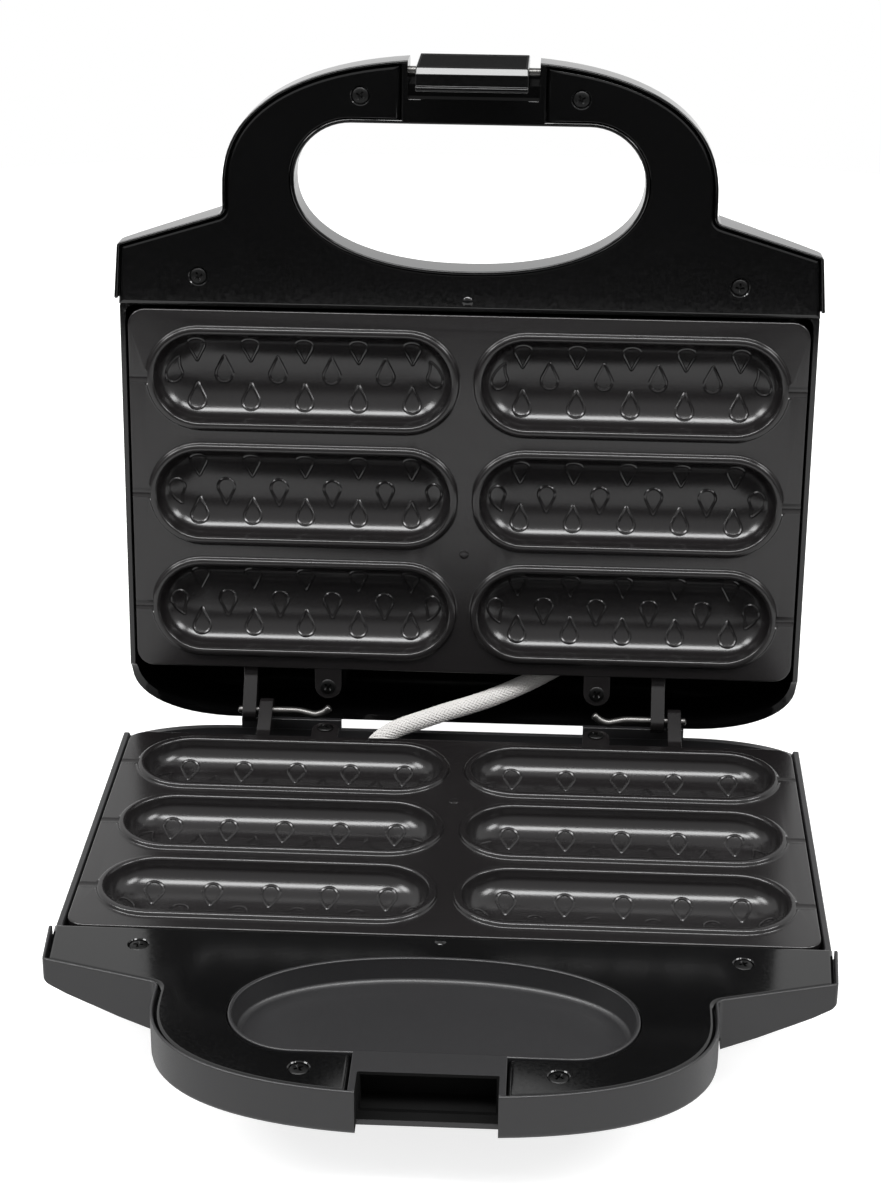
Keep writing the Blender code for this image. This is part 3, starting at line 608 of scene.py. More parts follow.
def rear_cut():
    """Lowers the rim behind the plate, so that the shells clear each other as the lid opens."""
    behind = BODY_REAR - 5.0 * MM
    profile = [(behind, -SINK), (17.0 * MM, -SINK)]
    for step in range(13):
        angle = math.radians(7.5 * step)
        reach = 22.0 * MM * math.cos(angle)
        profile.append((-6.0 * MM + reach, SINK + (REAR_RIM_DEPTH - SINK) * math.sin(angle)))
    profile.append((behind, REAR_RIM_DEPTH))
    return across([(s, depth, 0.0) for s, depth in profile], 0.0, BODY_HALF_WIDTH + SINK)


def handle_hollow():
    """Hollow of the handle behind its cover."""
    wall = WALL + 0.6 * MM
    outline = both_sides([(HANDLE_HALF_WIDTH - wall, WING_START, 0.0), *handle_front(wall, 20)])
    return slab(outline, 2.5 * MM, HANDLE_DEPTH - HANDLE_FLOOR)


def cover_seat():
    return drawn_in(handle_outline(COVER_START - GAP - RIM, EAR_HALF_WIDTH), RIM)


def make_housing(name, centre, slot_half_width):
    """Shell body, wings and handle of one half, with the oval's wall and the slot's cheeks."""
    housing = add_object(name, shell_body())
    join(housing, wings_and_handle())
    cut(housing, shell_hollow())
    cut(housing, flared(cover_seat(), WING_RIM_DEPTH, COVER_BOTTOM + GAP, FINE_EDGE))
    cut(housing, handle_hollow())
    floor_join = HANDLE_DEPTH - SINK
    join(housing, slab(oval_outline(OVAL_WALL), OVAL_WALL_TOP, floor_join, RIM_EDGE))
    cheek = slot_half_width + CHEEK
    block = rectangle(centre, cheek, OVAL_FRONT - SINK, HANDLE_FRONT - 1.6 * MM)
    join(housing, slab(block, OVAL_WALL_TOP + 0.02 * MM, floor_join, FINE_EDGE))
    bosses = rods(SCREW_PLACES, BOSS_RADIUS, COVER_BOTTOM + GAP + 0.02 * MM, floor_join + 0.03 * MM, 36)
    join(housing, bosses)
    cut(housing, rods(SCREW_PLACES, SCREW_HOLE_RADIUS, COVER_TOP, 11.0 * MM))
    join(housing, rods(PLATE_SCREW_PLACES, BOSS_RADIUS, PLATE_BOTTOM + GAP, BODY_DEPTH - SINK))
    cut(housing, rods(PLATE_SCREW_PLACES, SCREW_HOLE_RADIUS, SINK, 15.0 * MM))
    cut(housing, rear_cut())
    return housing


def oval_mouth():
    """The first levels of a cutter for the oval, down to its rounded upper edge."""
    rim = [(oval_outline(inset), OVAL_WALL_TOP + rise) for inset, rise in edge_steps(RIM_EDGE)]
    return [(oval_outline(RIM_EDGE), -SINK), *rim]


def make_base_housing():
    housing = make_housing("base_shell", 0.0, BASE_SLOT_HALF_WIDTH)
    levels = oval_mouth()
    lip_width, lip_depth = RECESS_LIP
    levels.append((oval_outline(), OVAL_WALL_TOP + lip_depth))
    curve_width, curve_height = RECESS_CURVE
    levels += [(oval_outline(-inset * curve_width - lip_width), RECESS_DEPTH - rise * curve_height)
               for inset, rise in reversed(edge_steps(1.0, 16))]
    cut(housing, loft(levels))
    slot = rectangle(0.0, BASE_SLOT_HALF_WIDTH, BASE_SLOT_BACK, BEYOND_HANDLE, 0.6 * MM)
    cut(housing, flared(slot, WING_RIM_DEPTH, THROUGH_HANDLE, FINE_EDGE))
    inside = BASE_SLOT_HALF_WIDTH - 0.8 * MM
    hollow = rectangle(0.0, inside, OVAL_FRONT + 2.0 * OVAL_WALL, BASE_SLOT_BACK + SINK)
    cut(housing, slab(hollow, STRIP_DEPTH, LEDGE_TOP))
    ledge = rectangle(0.0, BASE_SLOT_HALF_WIDTH + SINK, SLOT_BACK - SINK, LEDGE_FRONT)
    join(housing, slab(ledge, LEDGE_TOP, HANDLE_DEPTH - 0.1 * MM, FINE_EDGE, FINE_EDGE))
    hole_radius = BUSH_NECK_RADIUS + GAP
    inlet = turned_along(INLET_X, INLET_DEPTH, ((hole_radius, -12.0 * MM), (hole_radius, 2.0 * MM)))
    cut(housing, inlet)
    screens = []
    inner, outer = HINGE_SCREEN
    for side in (-1.0, 1.0):
        screen = rectangle(side * 0.5 * (inner + outer), 0.5 * (outer - inner),
                           BODY_REAR + 0.1 * MM, BODY_REAR + WALL - 0.1 * MM, 0.3 * MM)
        screens.append(slab(screen, HINGE_SCREEN_TOP, REAR_RIM_DEPTH + SINK, FINE_EDGE))
    join(housing, together(screens))
    return housing


def make_lid_housing():
    centre = -LATCH_CENTRE
    housing = make_housing("lid_shell", centre, LID_NOTCH_HALF_WIDTH)
    levels = oval_mouth()
    levels += [(oval_outline(inset), HANDLE_DEPTH - rise) for inset, rise in reversed(edge_steps(SINK))]
    levels.append((oval_outline(SINK), THROUGH_HANDLE))
    cut(housing, loft(levels))
    wide = LID_NOTCH_HALF_WIDTH
    step_rear, step_depth = NOTCH_STEP
    step = rectangle(centre, wide, step_rear, SLOT_BACK + SINK, 0.5 * MM)
    cut(housing, flared(step, OVAL_WALL_TOP, step_depth, FINE_EDGE))
    notch = rectangle(centre, wide, SLOT_BACK, BEYOND_HANDLE, 0.5 * MM)
    cut(housing, flared(notch, WING_RIM_DEPTH, NOTCH_FLOOR, FINE_EDGE))
    opened = rectangle(centre, wide, LATCH_PIVOT_FORWARD, BEYOND_HANDLE)
    cut(housing, slab(opened, NOTCH_FLOOR - SINK, THROUGH_HANDLE))
    bore = circle(LATCH_PIVOT_FORWARD, LATCH_PIVOT_DEPTH, LATCH_BORE_RADIUS)
    cut(housing, across(bore, centre, wide + 1.6 * MM))
    lamps = [(side * LAMP_SIDE, LAMP_FORWARD) for side in (-1.0, 1.0)]
    radius = LAMP_RADIUS + GAP
    steps = ((radius, BODY_DEPTH - 2.0 * WALL), (radius, BODY_DEPTH - FINE_EDGE),
             (radius + FINE_EDGE, BODY_DEPTH), (radius + FINE_EDGE, BODY_DEPTH + SINK))
    cut(housing, posts(lamps, steps))
    return housing


def make_handle_cover(name, centre, slot_half_width):
    outline = drawn_in(cover_seat(), GAP)
    cover = add_object(name, slab(outline, COVER_TOP, COVER_BOTTOM, COVER_EDGE))
    below = COVER_BOTTOM + SINK
    cut(cover, flared(oval_outline(OVAL_WALL + GAP), COVER_TOP, below, FINE_EDGE))
    cheek = slot_half_width + CHEEK + GAP
    gap = rectangle(centre, cheek, OVAL_FRONT - SINK, BEYOND_HANDLE)
    cut(cover, flared(gap, COVER_TOP, below, COVER_EDGE))
    radius = SCREW_HEAD_RADIUS + GAP
    seat_depth = COVER_TOP + SINK
    steps = ((radius + FINE_EDGE, 0.0), (radius + FINE_EDGE, COVER_TOP), (radius, COVER_TOP + FINE_EDGE),
             (radius, seat_depth), (SCREW_HOLE_RADIUS, seat_depth), (SCREW_HOLE_RADIUS, below))
    cut(cover, posts(SCREW_PLACES, steps))
    pip = post(0.0, COVER_START + 3.4 * MM, (
        (0.6 * MM, COVER_TOP - 0.55 * MM), (1.3 * MM, COVER_TOP - 0.4 * MM), (1.8 * MM, COVER_TOP),
        (1.9 * MM, COVER_TOP + 0.5 * MM)))
    return with_relief(cover, [pip])


# Cooking plate

def dish_depth(radius):
    """Depth of the dish's surface at a distance from its middle line."""
    share = min(1.0, radius / CAVITY_RADIUS)
    return RIDGE_TOP + CAVITY_DEPTH * (1.0 - share ** CAVITY_ROUNDING) ** (1.0 / CAVITY_ROUNDING)


def bowl_steps(radius, top, depth, start, count):
    """(radius, depth) down a dish, from a start angle at its rim to its middle."""
    steps = []
    for step in range(count):
        angle = math.radians(start + (90.0 - start) * step / (count - 1))
        reach = radius * max(0.0, math.cos(angle)) ** (2.0 / CAVITY_ROUNDING)
        steps.append((max(reach, 0.5 * MM), top + depth * math.sin(angle) ** (2.0 / CAVITY_ROUNDING)))
    return steps


def cavity_steps():
    """(radius, depth) from the plate's face over the ridge and down to the dish's floor."""
    ease = 0.9 * MM
    foot = RIDGE_RADIUS + ease
    rise = PLATE_TOP - RIDGE_TOP
    steps = [(foot, PLATE_TOP)]
    for share, height in ((0.45, 0.07), (0.7, 0.22), (0.88, 0.45), (1.05, 0.7), (1.4, 0.9), (2.0, 1.0)):
        steps.append((foot - share * ease, PLATE_TOP - height * rise))
    for beyond, below in ((0.9 * MM, 0.0), (0.45 * MM, 0.12 * MM), (0.12 * MM, 0.5 * MM), (0.0, 1.1 * MM)):
        steps.append((CAVITY_RADIUS + beyond, RIDGE_TOP + below))
    return steps + bowl_steps(CAVITY_RADIUS, RIDGE_TOP, CAVITY_DEPTH, 4.0, 20)


def underside_steps():
    depth = RIDGE_TOP + CAVITY_DEPTH + CASTING_WALL - PLATE_BOTTOM
    return bowl_steps(CAVITY_RADIUS + CASTING_WALL, PLATE_BOTTOM, depth, 0.0, 10)


def add_dish_skin(mesh, centre_x, centre_s, steps):
    """One dish as a skin that hangs from the plate's face. Returns its first ring."""
    rings = [[place(x, s, depth) for x, s, corner in stadium(centre_x, centre_s, CAVITY_STRAIGHT, radius)]
             for radius, depth in steps]
    loops = add_rings(mesh, rings, closed_ends=False)
    mesh.faces.new(loops[-1])
    return loops[0]


def ring_edges(mesh, loop):
    return [mesh.edges.get((vert, loop[(index + 1) % len(loop)])) for index, vert in enumerate(loop)]


def plate_skin():
    """The whole casting in one closed skin: both faces, the rim, and the dishes between them."""
    mesh = bmesh.new()
    corners = rectangle(0.0, PLATE_HALF_WIDTH, PLATE_REAR, PLATE_FRONT, PLATE_CORNER)
    levels = [(inset, PLATE_TOP + rise) for inset, rise in edge_steps(0.6 * MM)]
    levels += reversed([(inset, PLATE_BOTTOM - rise) for inset, rise in edge_steps(FINE_EDGE, 2)])
    rim = add_rings(mesh, [[place(x, s, depth) for x, s in rounded(drawn_in(corners, inset))]
                           for inset, depth in levels], closed_ends=False)
    for loop, steps in ((rim[0], cavity_steps()), (rim[-1], underside_steps())):
        edges = ring_edges(mesh, loop)
        for x, s in CAVITY_PLACES:
            edges += ring_edges(mesh, add_dish_skin(mesh, x, s, steps))
        bmesh.ops.triangle_fill(mesh, use_beauty=True, use_dissolve=False, edges=edges)
    return closed(mesh)


def lug(x):
    """Cast hinge eye on an arm from the plate's rear edge."""
    root = PLATE_REAR + 2.0 * MM
    profile = [(root, PLATE_BOTTOM + 2.0 * MM, 0.0), (root, PLATE_TOP + 0.1 * MM, 0.0),
               (PLATE_REAR - 3.0 * MM, PLATE_TOP, 2.0 * MM), *arc(0.0, 0.0, LUG_RADIUS, 290.0, 70.0, 18)]
    profile.reverse()
    return across(profile, x, 0.5 * LUG_WIDTH, FINE_EDGE)


def screw_tab(x, s):
    outline = arc(x, s, TAB_RADIUS, 180.0, 360.0, 18)
    outline += [(x + TAB_RADIUS, PLATE_REAR + SINK, 0.0), (x - TAB_RADIUS, PLATE_REAR + SINK, 0.0)]
    return slab(outline, TAB_TOP, PLATE_BOTTOM, FINE_EDGE)


def groove(side, row):
    """Shallow channel for the stick, from the ridge to the plate's edge."""
    inner = CAVITY_MIDDLE + CAVITY_STRAIGHT + RIDGE_RADIUS - 0.4 * MM
    outer = PLATE_HALF_WIDTH + SINK
    channel = circle(row, GROOVE_FLOOR - GROOVE_RADIUS, GROOVE_RADIUS, 64)
    return across(channel, side * 0.5 * (inner + outer), 0.5 * (outer - inner))


def climbs(count):
    """Distances from the middle of a dish for even steps along its surface, as (along, plan distance)."""
    table = [(0.0, 0.0)]
    for step in range(1, count):
        radius = CAVITY_RADIUS * step / count
        before = table[-1]
        rise = dish_depth(before[1]) - dish_depth(radius)
        table.append((before[0] + math.hypot(radius - before[1], rise), radius))
    return table


CLIMBS = climbs(400)


def plan_distance(along):
    """Plan distance from the middle line for a distance along the dish's surface."""
    for (low, inner), (high, outer) in zip(CLIMBS, CLIMBS[1:]):
        if abs(along) <= high:
            share = (abs(along) - low) / (high - low)
            return math.copysign(inner + share * (outer - inner), along)
    return math.copysign(CLIMBS[-1][1], along)


def drop_outline():
    """A drop, as (across, along) points, with its tip ahead."""
    radius = DROP_HALF_WIDTH
    middle = radius - 0.5 * DROP_LENGTH
    tip = 0.5 * DROP_LENGTH
    spread = math.acos(radius / (tip - middle))
    points = []
    for step in range(15):
        angle = 0.5 * math.pi + spread + (2.0 * math.pi - 2.0 * spread) * step / 14
        points.append((radius * math.cos(angle), middle + radius * math.sin(angle)))
    across_right, along_right = points[-1]
    flank = [(across_right * (1.0 - share), along_right + (tip - along_right) * share)
             for share in (0.35, 0.7, 0.93)]
    points += flank
    points.append((0.0, tip - 0.25 * MM))
    points += [(-aside, ahead) for aside, ahead in reversed(flank)]
    return points


def spokes(side, up, count):
    """Directions all around, from side through up."""
    angles = [2.0 * math.pi * step / count for step in range(count)]
    return [side * math.cos(angle) + up * math.sin(angle) for angle in angles]


def drop_ring(points):
    """A round bead along a closed line of (point, outward normal)."""
    rings = []
    for index, (point, normal) in enumerate(points):
        before = points[index - 1][0]
        after = points[(index + 1) % len(points)][0]
        side = (after - before).normalized().cross(normal).normalized()
        rings.append([point + spoke * DROP_LINE - normal * DROP_SINK for spoke in spokes(side, normal, 7)])
    mesh = bmesh.new()
    loops = add_rings(mesh, rings + [rings[0]], closed_ends=False)
    bmesh.ops.remove_doubles(mesh, verts=loops[0] + loops[-1], dist=0.001 * MM)
    return closed(mesh)


def dish_point(centre_x, centre_s, x, s):
    """The dish's surface and its normal at a place beside its middle, in the half frame."""
    def at(here_x, here_s):
        beyond = max(0.0, abs(here_x) - CAVITY_STRAIGHT)
        return place(centre_x + here_x, centre_s + here_s, dish_depth(math.hypot(beyond, here_s)))
    small = 0.05 * MM
    along_x = at(x + small, s) - at(x - small, s)
    along_s = at(x, s + small) - at(x, s - small)
    normal = along_s.cross(along_x).normalized()
    return at(x, s), normal if normal.z > 0.0 else -normal


def drops(centre_x, centre_s, middle_tip):
    """Three staggered rows of drops, and one at each round end."""
    outline = drop_outline()
    layout = []
    for step in range(-2, 3):
        layout.append((step * DROP_SPACING, DROP_ROWS[0], 1.0))
        layout.append((step * DROP_SPACING, DROP_ROWS[1], -1.0))
    for step in (-1.5, -0.5, 0.5, 1.5):
        layout.append((step * DROP_SPACING, DROP_SHIFT * middle_tip, middle_tip))
    made = []
    for x, row, tip in layout:
        line = [(x + tip * aside, plan_distance(row + tip * ahead)) for aside, ahead in outline]
        made.append(drop_ring([dish_point(centre_x, centre_s, *spot) for spot in line]))
    reach = plan_distance(DROP_END_ROW)
    for side in (-1.0, 1.0):
        line = []
        for aside, ahead in outline:
            angle = middle_tip * (ahead + DROP_SHIFT) / reach
            out = plan_distance(DROP_END_ROW + middle_tip * side * aside)
            line.append((side * (CAVITY_STRAIGHT + out * math.cos(angle)), out * math.sin(angle)))
        made.append(drop_ring([dish_point(centre_x, centre_s, *spot) for spot in line]))
    return made


def make_cooking_plate(name):
    plate = add_object(name, plate_skin())
    grooves = [groove(side, row) for row in CAVITY_ROWS for side in (-1.0, 1.0)]
    cut(plate, together(grooves))
    tabs = [screw_tab(x, s) for x, s in PLATE_SCREW_PLACES]
    join(plate, together([lug(x) for x in LUG_PLACES] + tabs))
    eye = circle(0.0, 0.0, PIN_RADIUS + 0.35 * MM)
    bores = [across(eye, x, LUG_WIDTH) for x in LUG_PLACES]
    holes = rods(PLATE_SCREW_PLACES, SCREW_HOLE_RADIUS, 0.0, PLATE_BOTTOM + SINK)
    cut(plate, together([*bores, holes]))
    pip_place = 0.5 * (CAVITY_ROWS[0] + CAVITY_ROWS[1]) + 1.0 * MM
    relief = [post(0.0, pip_place, (
        (0.8 * MM, PLATE_TOP - 0.5 * MM), (1.5 * MM, PLATE_TOP - 0.3 * MM),
        (1.9 * MM, PLATE_TOP + 0.3 * MM)))]
    for x, s in CAVITY_PLACES:
        relief += drops(x, s, 1.0 if s == CAVITY_ROWS[-1] else -1.0)
    return with_relief(plate, relief)


# Fasteners and hinge

def make_screw(name, head_top, end):
    """Pan head with a cross recess; its axis stands on the half frame's origin."""
    top = head_top
    steps = [(0.3 * MM, top - 0.02 * MM), (1.4 * MM, top), (2.2 * MM, top + 0.12 * MM),
             (SCREW_HEAD_RADIUS - 0.15 * MM, top + 0.3 * MM), (SCREW_HEAD_RADIUS, top + 0.45 * MM),
             (SCREW_HEAD_RADIUS - 0.05 * MM, top + 0.65 * MM), (SCREW_SHANK_RADIUS, top + 0.68 * MM)]
    turns = 9
    pitch = (end - top - 2.0 * MM) / turns
    for turn in range(turns):
        start = top + 1.0 * MM + turn * pitch
        steps.append((SCREW_SHANK_RADIUS - 0.3 * MM, start))
        steps.append((SCREW_SHANK_RADIUS, start + 0.45 * pitch))
    steps += [(SCREW_SHANK_RADIUS - 0.3 * MM, end - SINK), (0.3 * MM, end)]
    screw = add_object(name, post(0.0, 0.0, steps, 28))
    arms = []
    for wide, long in ((0.36 * MM, 1.6 * MM), (1.6 * MM, 0.36 * MM)):
        mouth = rectangle(0.0, wide, -long, long)
        floor = rectangle(0.0, 0.5 * wide, -0.5 * long, 0.5 * long)
        arms.append(loft([(mouth, top - SINK), (mouth, top), (floor, top + 0.85 * MM)]))
    for arm in arms:
        cut(screw, arm)
    return screw


def frames_along(points):
    """(point, ahead, side, up) at each point of a line, without twist."""
    frames = []
    side = None
    last = len(points) - 1
    for index, point in enumerate(points):
        ahead = (points[min(index + 1, last)] - points[max(index - 1, 0)]).normalized()
        if side is None:
            side = ahead.orthogonal().normalized()
        side = (side - ahead * side.dot(ahead)).normalized()
        frames.append((point, ahead, side, ahead.cross(side)))
    return frames


def swept(points, radius, count=20, taper=3):
    """A round rod along a line of points, with domed ends."""
    rings = []
    last = len(points) - 1
    for index, (point, ahead, side, up) in enumerate(frames_along(points)):
        stations = [(0.0, radius)]
        if index in (0, last):
            outwards = -1.0 if index == 0 else 1.0
            stations = []
            for step in range(taper + 1):
                angle = math.radians(80.0 * step / taper)
                stations.append((outwards * radius * 0.6 * math.sin(angle), radius * math.cos(angle)))
            if index == 0:
                stations.reverse()
        for shift, size in stations:
            rings.append([point + ahead * shift + spoke * size for spoke in spokes(side, up, count)])
    return solid(rings)


def smooth_route(through, spacing):
    """Points at even steps along a smooth curve through the route's own points."""
    points = []
    padded = [2 * through[0] - through[1], *through, 2 * through[-1] - through[-2]]
    for before, start, end, after in zip(padded, padded[1:], padded[2:], padded[3:]):
        count = max(1, round((end - start).length / spacing))
        for step in range(count):
            t = step / count
            points.append(0.5 * (
                2 * start
                + (end - before) * t
                + (2 * before - 5 * start + 4 * end - after) * t ** 2
                + (3 * start - before - 3 * end + after) * t ** 3
            ))
    points.append(through[-1])
    return points


def make_hinge_pin(name, side):
    """Steel pin through both eyes, with its tail bent up beside the screw tab."""
    tail = [(80.2, 0.0, 0.0), (70.0, 0.0, 0.0), (60.0, 0.0, 0.0), (56.5, 0.2, 0.5), (53.0, 0.4, 1.1),
            (50.0, 0.2, 0.2), (48.0, 0.0, -1.4)]
    through = [place(side * x * MM, s * MM, depth * MM) for x, s, depth in tail]
    return add_object(name, swept(smooth_route(through, 0.8 * MM), PIN_RADIUS))


# Small pieces

def make_foot(name, x, s):
    top = BODY_DEPTH + GAP
    steps = [(6.0 * MM, top), (8.0 * MM, top), (8.0 * MM, BODY_DEPTH + 2.4 * MM)]
    for inset, rise in reversed(edge_steps(1.2 * MM)):
        steps.append((7.9 * MM - inset, HINGE_HEIGHT - rise))
    steps += [(5.2 * MM, HINGE_HEIGHT), (4.8 * MM, HINGE_HEIGHT - 0.5 * MM),
              (0.5 * MM, HINGE_HEIGHT - 0.6 * MM)]
    return add_object(name, post(x, s, steps, 48))


def make_lens(name, side):
    flange = BODY_DEPTH - WALL - GAP
    steps = [(5.0 * MM, BODY_DEPTH - 4.8 * MM), (5.0 * MM, flange), (LAMP_RADIUS, flange),
             (LAMP_RADIUS, BODY_DEPTH + 0.2 * MM)]
    for step in range(1, 7):
        angle = math.radians(15.0 * step)
        steps.append((max(0.3 * MM, LAMP_RADIUS * math.cos(angle)),
                      BODY_DEPTH + 0.2 * MM + 0.9 * MM * math.sin(angle)))
    return add_object(name, post(side * LAMP_SIDE, LAMP_FORWARD, steps, 40))


def make_bush(name):
    """Bush in the rear wall where the supply cord would come in, with three rings around it."""
    steps = [(5.2 * MM, -9.6 * MM), (6.4 * MM, -9.5 * MM)]
    for ring in range(3):
        start = -9.2 * MM + ring * 0.6 * MM
        steps += [(7.2 * MM, start), (7.35 * MM, start + 0.2 * MM), (7.0 * MM, start + 0.45 * MM)]
    steps += [(7.2 * MM, -7.4 * MM), (BUSH_NECK_RADIUS, -7.4 * MM), (BUSH_NECK_RADIUS, -1.5 * MM)]
    bush = add_object(name, turned_along(INLET_X, INLET_DEPTH, steps))
    cut(bush, turned_along(INLET_X, INLET_DEPTH, (
        (4.2 * MM, -12.0 * MM), (4.2 * MM, -9.6 * MM), (3.3 * MM, -8.8 * MM), (3.2 * MM, 1.0 * MM))))
    return bush


# Side view of the latch's flap around its hub, as (s, depth, corner radius) from its pin in millimetres

FLAP_OUTLINE = (
    (5.6, 1.2, 0.5),
    (5.4, -4.0, 4.0),
    (4.8, -25.9, 0.8),
    (2.6, -27.45, 0.5),
    (-1.2, -27.2, 0.25),
    (-1.5, -28.3, 0.4),
    (-2.9, -28.3, 0.6),
    (-2.9, -24.4, 0.6),
    (-1.6, -23.8, 0.5),
    (1.6, -23.6, 0.5),
    (2.2, -5.0, 0.0),
)
FLAP_SHOULDER = (4.6 * MM, 2.0 * MM, 0.5 * MM)
GRIPS = 13


def make_latch_clip(name):
    """Flap on the lid's pin, with finger grooves across it."""
    profile = [tuple(length * MM for length in point) for point in FLAP_OUTLINE]
    profile += arc(0.0, 0.0, LATCH_HUB_RADIUS, -75.0, -300.0, 20)
    profile.append(FLAP_SHOULDER)
    profile.reverse()
    clip = add_object(name, across(profile, 0.0, LATCH_HALF_WIDTH, 0.5 * MM))
    cut(clip, across(circle(0.0, 0.0, LATCH_BORE_RADIUS), 0.0, LATCH_HALF_WIDTH + SINK))
    grips = []
    for step in range(GRIPS):
        grip = circle(LATCH_FRONT + 0.35 * MM - step * 0.045 * MM, (-3.0 - step * 1.75) * MM, 0.95 * MM, 20)
        grips.append(across(grip, 0.0, LATCH_HALF_WIDTH - SINK))
    cut(clip, together(grips[::2]))
    cut(clip, together(grips[1::2]))
    return clip


def make_latch_pin(name):
    half_length = LID_NOTCH_HALF_WIDTH + 1.2 * MM
    points = [place(x, 0.0, 0.0) for x in (-half_length + 0.7 * MM, 0.0, half_length - 0.7 * MM)]
    return add_object(name, swept(points, LATCH_PIN_RADIUS))


# Wiring sleeve, as (x, back, up) from the hinge axis in millimetres

SLEEVE_ROUTE = (
    (-60.0, -44.0, -27.0),
    (-49.0, -24.0, -25.5),
    (-37.0, -8.0, -17.0),
    (-27.0, -2.0, -7.5),
    (-10.0, 2.0, -1.5),
    (10.0, 6.5, 4.0),
    (29.0, 14.0, 10.5),
    (42.0, 26.0, 15.5),
    (52.0, 30.0, 38.0),
)
YARNS = 14
YARN_TURN = 21.0 * MM         # length of sleeve for one turn of a yarn
YARN_RADIUS = 0.36 * MM


def braided(route, radius):
    """A tube under two sets of yarns, which wind both ways and pass over and under each other."""
    parts = [swept(route, radius - 0.5 * MM, 24)]
    lengths = [0.0]
    for start, end in zip(route, route[1:]):
        lengths.append(lengths[-1] + (end - start).length)
    for hand in (-1.0, 1.0):
        for yarn in range(YARNS):
            line = []
            for (point, ahead, side, up), length in zip(frames_along(route), lengths):
                turned = hand * 2.0 * math.pi * length / YARN_TURN
                angle = turned + 2.0 * math.pi * yarn / YARNS
                wave = math.cos(0.5 * YARNS * turned * hand + math.pi * yarn)
                reach = radius - YARN_RADIUS - 0.13 * MM + hand * 0.11 * MM * wave
                line.append(point + (side * math.cos(angle) + up * math.sin(angle)) * reach)
            parts.append(swept(line, YARN_RADIUS, 6, 1))
    return together(parts)


def make_sleeve(name):
    route = smooth_route([Vector(point) * MM for point in SLEEVE_ROUTE], 1.0 * MM)
    return add_object(name, braided(route, SLEEVE_RADIUS))


# Materials

CLOUDS = 18.0                 # slow changes of tone in a metre


def add_node(tree, kind, inputs=None, **settings):
    """A shader node. Each of its inputs is a value, or another node's output."""
    node = tree.nodes.new("ShaderNode" + kind)
    for setting, value in settings.items():
        setattr(node, setting, value)
    for socket, value in (inputs or {}).items():
        if isinstance(value, bpy.types.NodeSocket):
            tree.links.new(value, node.inputs[socket])
        else:
            node.inputs[socket].default_value = value
    return node


def add_noise(tree, coordinate, scale, stretch=(1.0, 1.0, 1.0)):
    stretched = add_node(tree, "Mapping", {"Vector": coordinate, "Scale": stretch}).outputs["Vector"]
    return add_node(tree, "TexNoise", {"Vector": stretched, "Scale": scale, "Detail": 3.0}).outputs["Fac"]


def tones(level, spread=0.25, tint=(1.0, 1.0, 1.0)):
    """A darker and a lighter colour about a level."""
    return [tuple(level * share * part for part in tint) for share in (1.0 - spread, 1.0 + spread)]


def surface(name, dark_and_light, rough, grain, relief, metallic=0.0, stretch=(1.0, 1.0, 1.0)):
    """A finish whose colour drifts between two tones, with a fine grain in its gloss and its relief.

    rough is the lowest and highest roughness, grain the grains in a metre, and relief their height in
    thousandths of a millimetre.
    """
    dark, light = dark_and_light
    made = bpy.data.materials.new(name)
    made.use_nodes = True
    made.diffuse_color = (*light, 1.0)
    tree = made.node_tree
    coordinate = add_node(tree, "TexCoord").outputs["Object"]
    clouds = add_noise(tree, coordinate, CLOUDS)
    grains = add_noise(tree, coordinate, grain, stretch)
    blend = add_node(tree, "Mix", {0: 0.45, 2: clouds, 3: grains}, data_type="FLOAT")
    tone = add_node(tree, "ValToRGB", {"Fac": blend.outputs[0]})
    for element, position, colour in zip(tone.color_ramp.elements, (0.35, 0.65), (dark, light)):
        element.position = position
        element.color = (*colour, 1.0)
    gloss = add_node(tree, "MapRange", {"Value": grains, "From Min": 0.3, "From Max": 0.7,
                                        "To Min": rough[0], "To Max": rough[1]})
    bump = add_node(tree, "Bump", {"Height": grains, "Distance": relief * 0.001 * MM, "Strength": 1.0})
    shader = tree.nodes["Principled BSDF"]
    shader.inputs["Metallic"].default_value = metallic
    tree.links.new(tone.outputs["Color"], shader.inputs["Base Color"])
    tree.links.new(gloss.outputs["Result"], shader.inputs["Roughness"])
    tree.links.new(bump.outputs["Normal"], shader.inputs["Normal"])
    return made


GLOSS_BLACK = surface("gloss_black_plastic", tones(0.0016, 0.2, (1.0, 1.0, 1.04)), (0.07, 0.12), 900.0, 2.0)
SATIN_BLACK = surface("satin_black_plastic", tones(0.008, 0.12, (1.0, 0.98, 1.06)), (0.36, 0.44),
                      2600.0, 30.0)
NON_STICK = surface("non_stick_coat", tones(0.0055, 0.14, (1.08, 0.97, 1.0)), (0.18, 0.24), 2200.0, 9.0)
# Dark matt black: painted shade inside the base's slot, and a matt finish on the latch flap's grooved face.
MATT_BLACK_AND_PAINTED_SHADE = surface("matt_black_and_painted_shade", tones(0.002, 0.1), (0.75, 0.85), 1500.0, 20.0)
MATT_BLACK_AND_PAINTED_SHADE.node_tree.nodes["Principled BSDF"].inputs["Specular IOR Level"].default_value = 0.1
SCREW_STEEL = surface("dark_screw_steel", tones(0.022, 0.15), (0.36, 0.44), 1800.0, 8.0, 1.0)
PIN_STEEL = surface("pin_steel", tones(0.12, 0.15, (1.0, 0.98, 0.95)), (0.3, 0.42), 900.0, 8.0, 1.0,
                    (0.15, 1.0, 1.0))
RUBBER = surface("foot_rubber", tones(0.02, 0.2), (0.7, 0.85), 1500.0, 50.0)
YARN = surface("glass_yarn", tones(0.4, 0.08, (1.0, 0.975, 0.95)), (0.65, 0.8), 2400.0, 60.0)
CERAMIC = surface("ceramic", tones(0.72, 0.06, (1.0, 0.97, 0.9)), (0.45, 0.6), 700.0, 30.0)
SHEET = surface("aluminium_sheet", tones(0.62, 0.06), (0.3, 0.42), 600.0, 10.0, 1.0, (1.0, 0.05, 1.0))
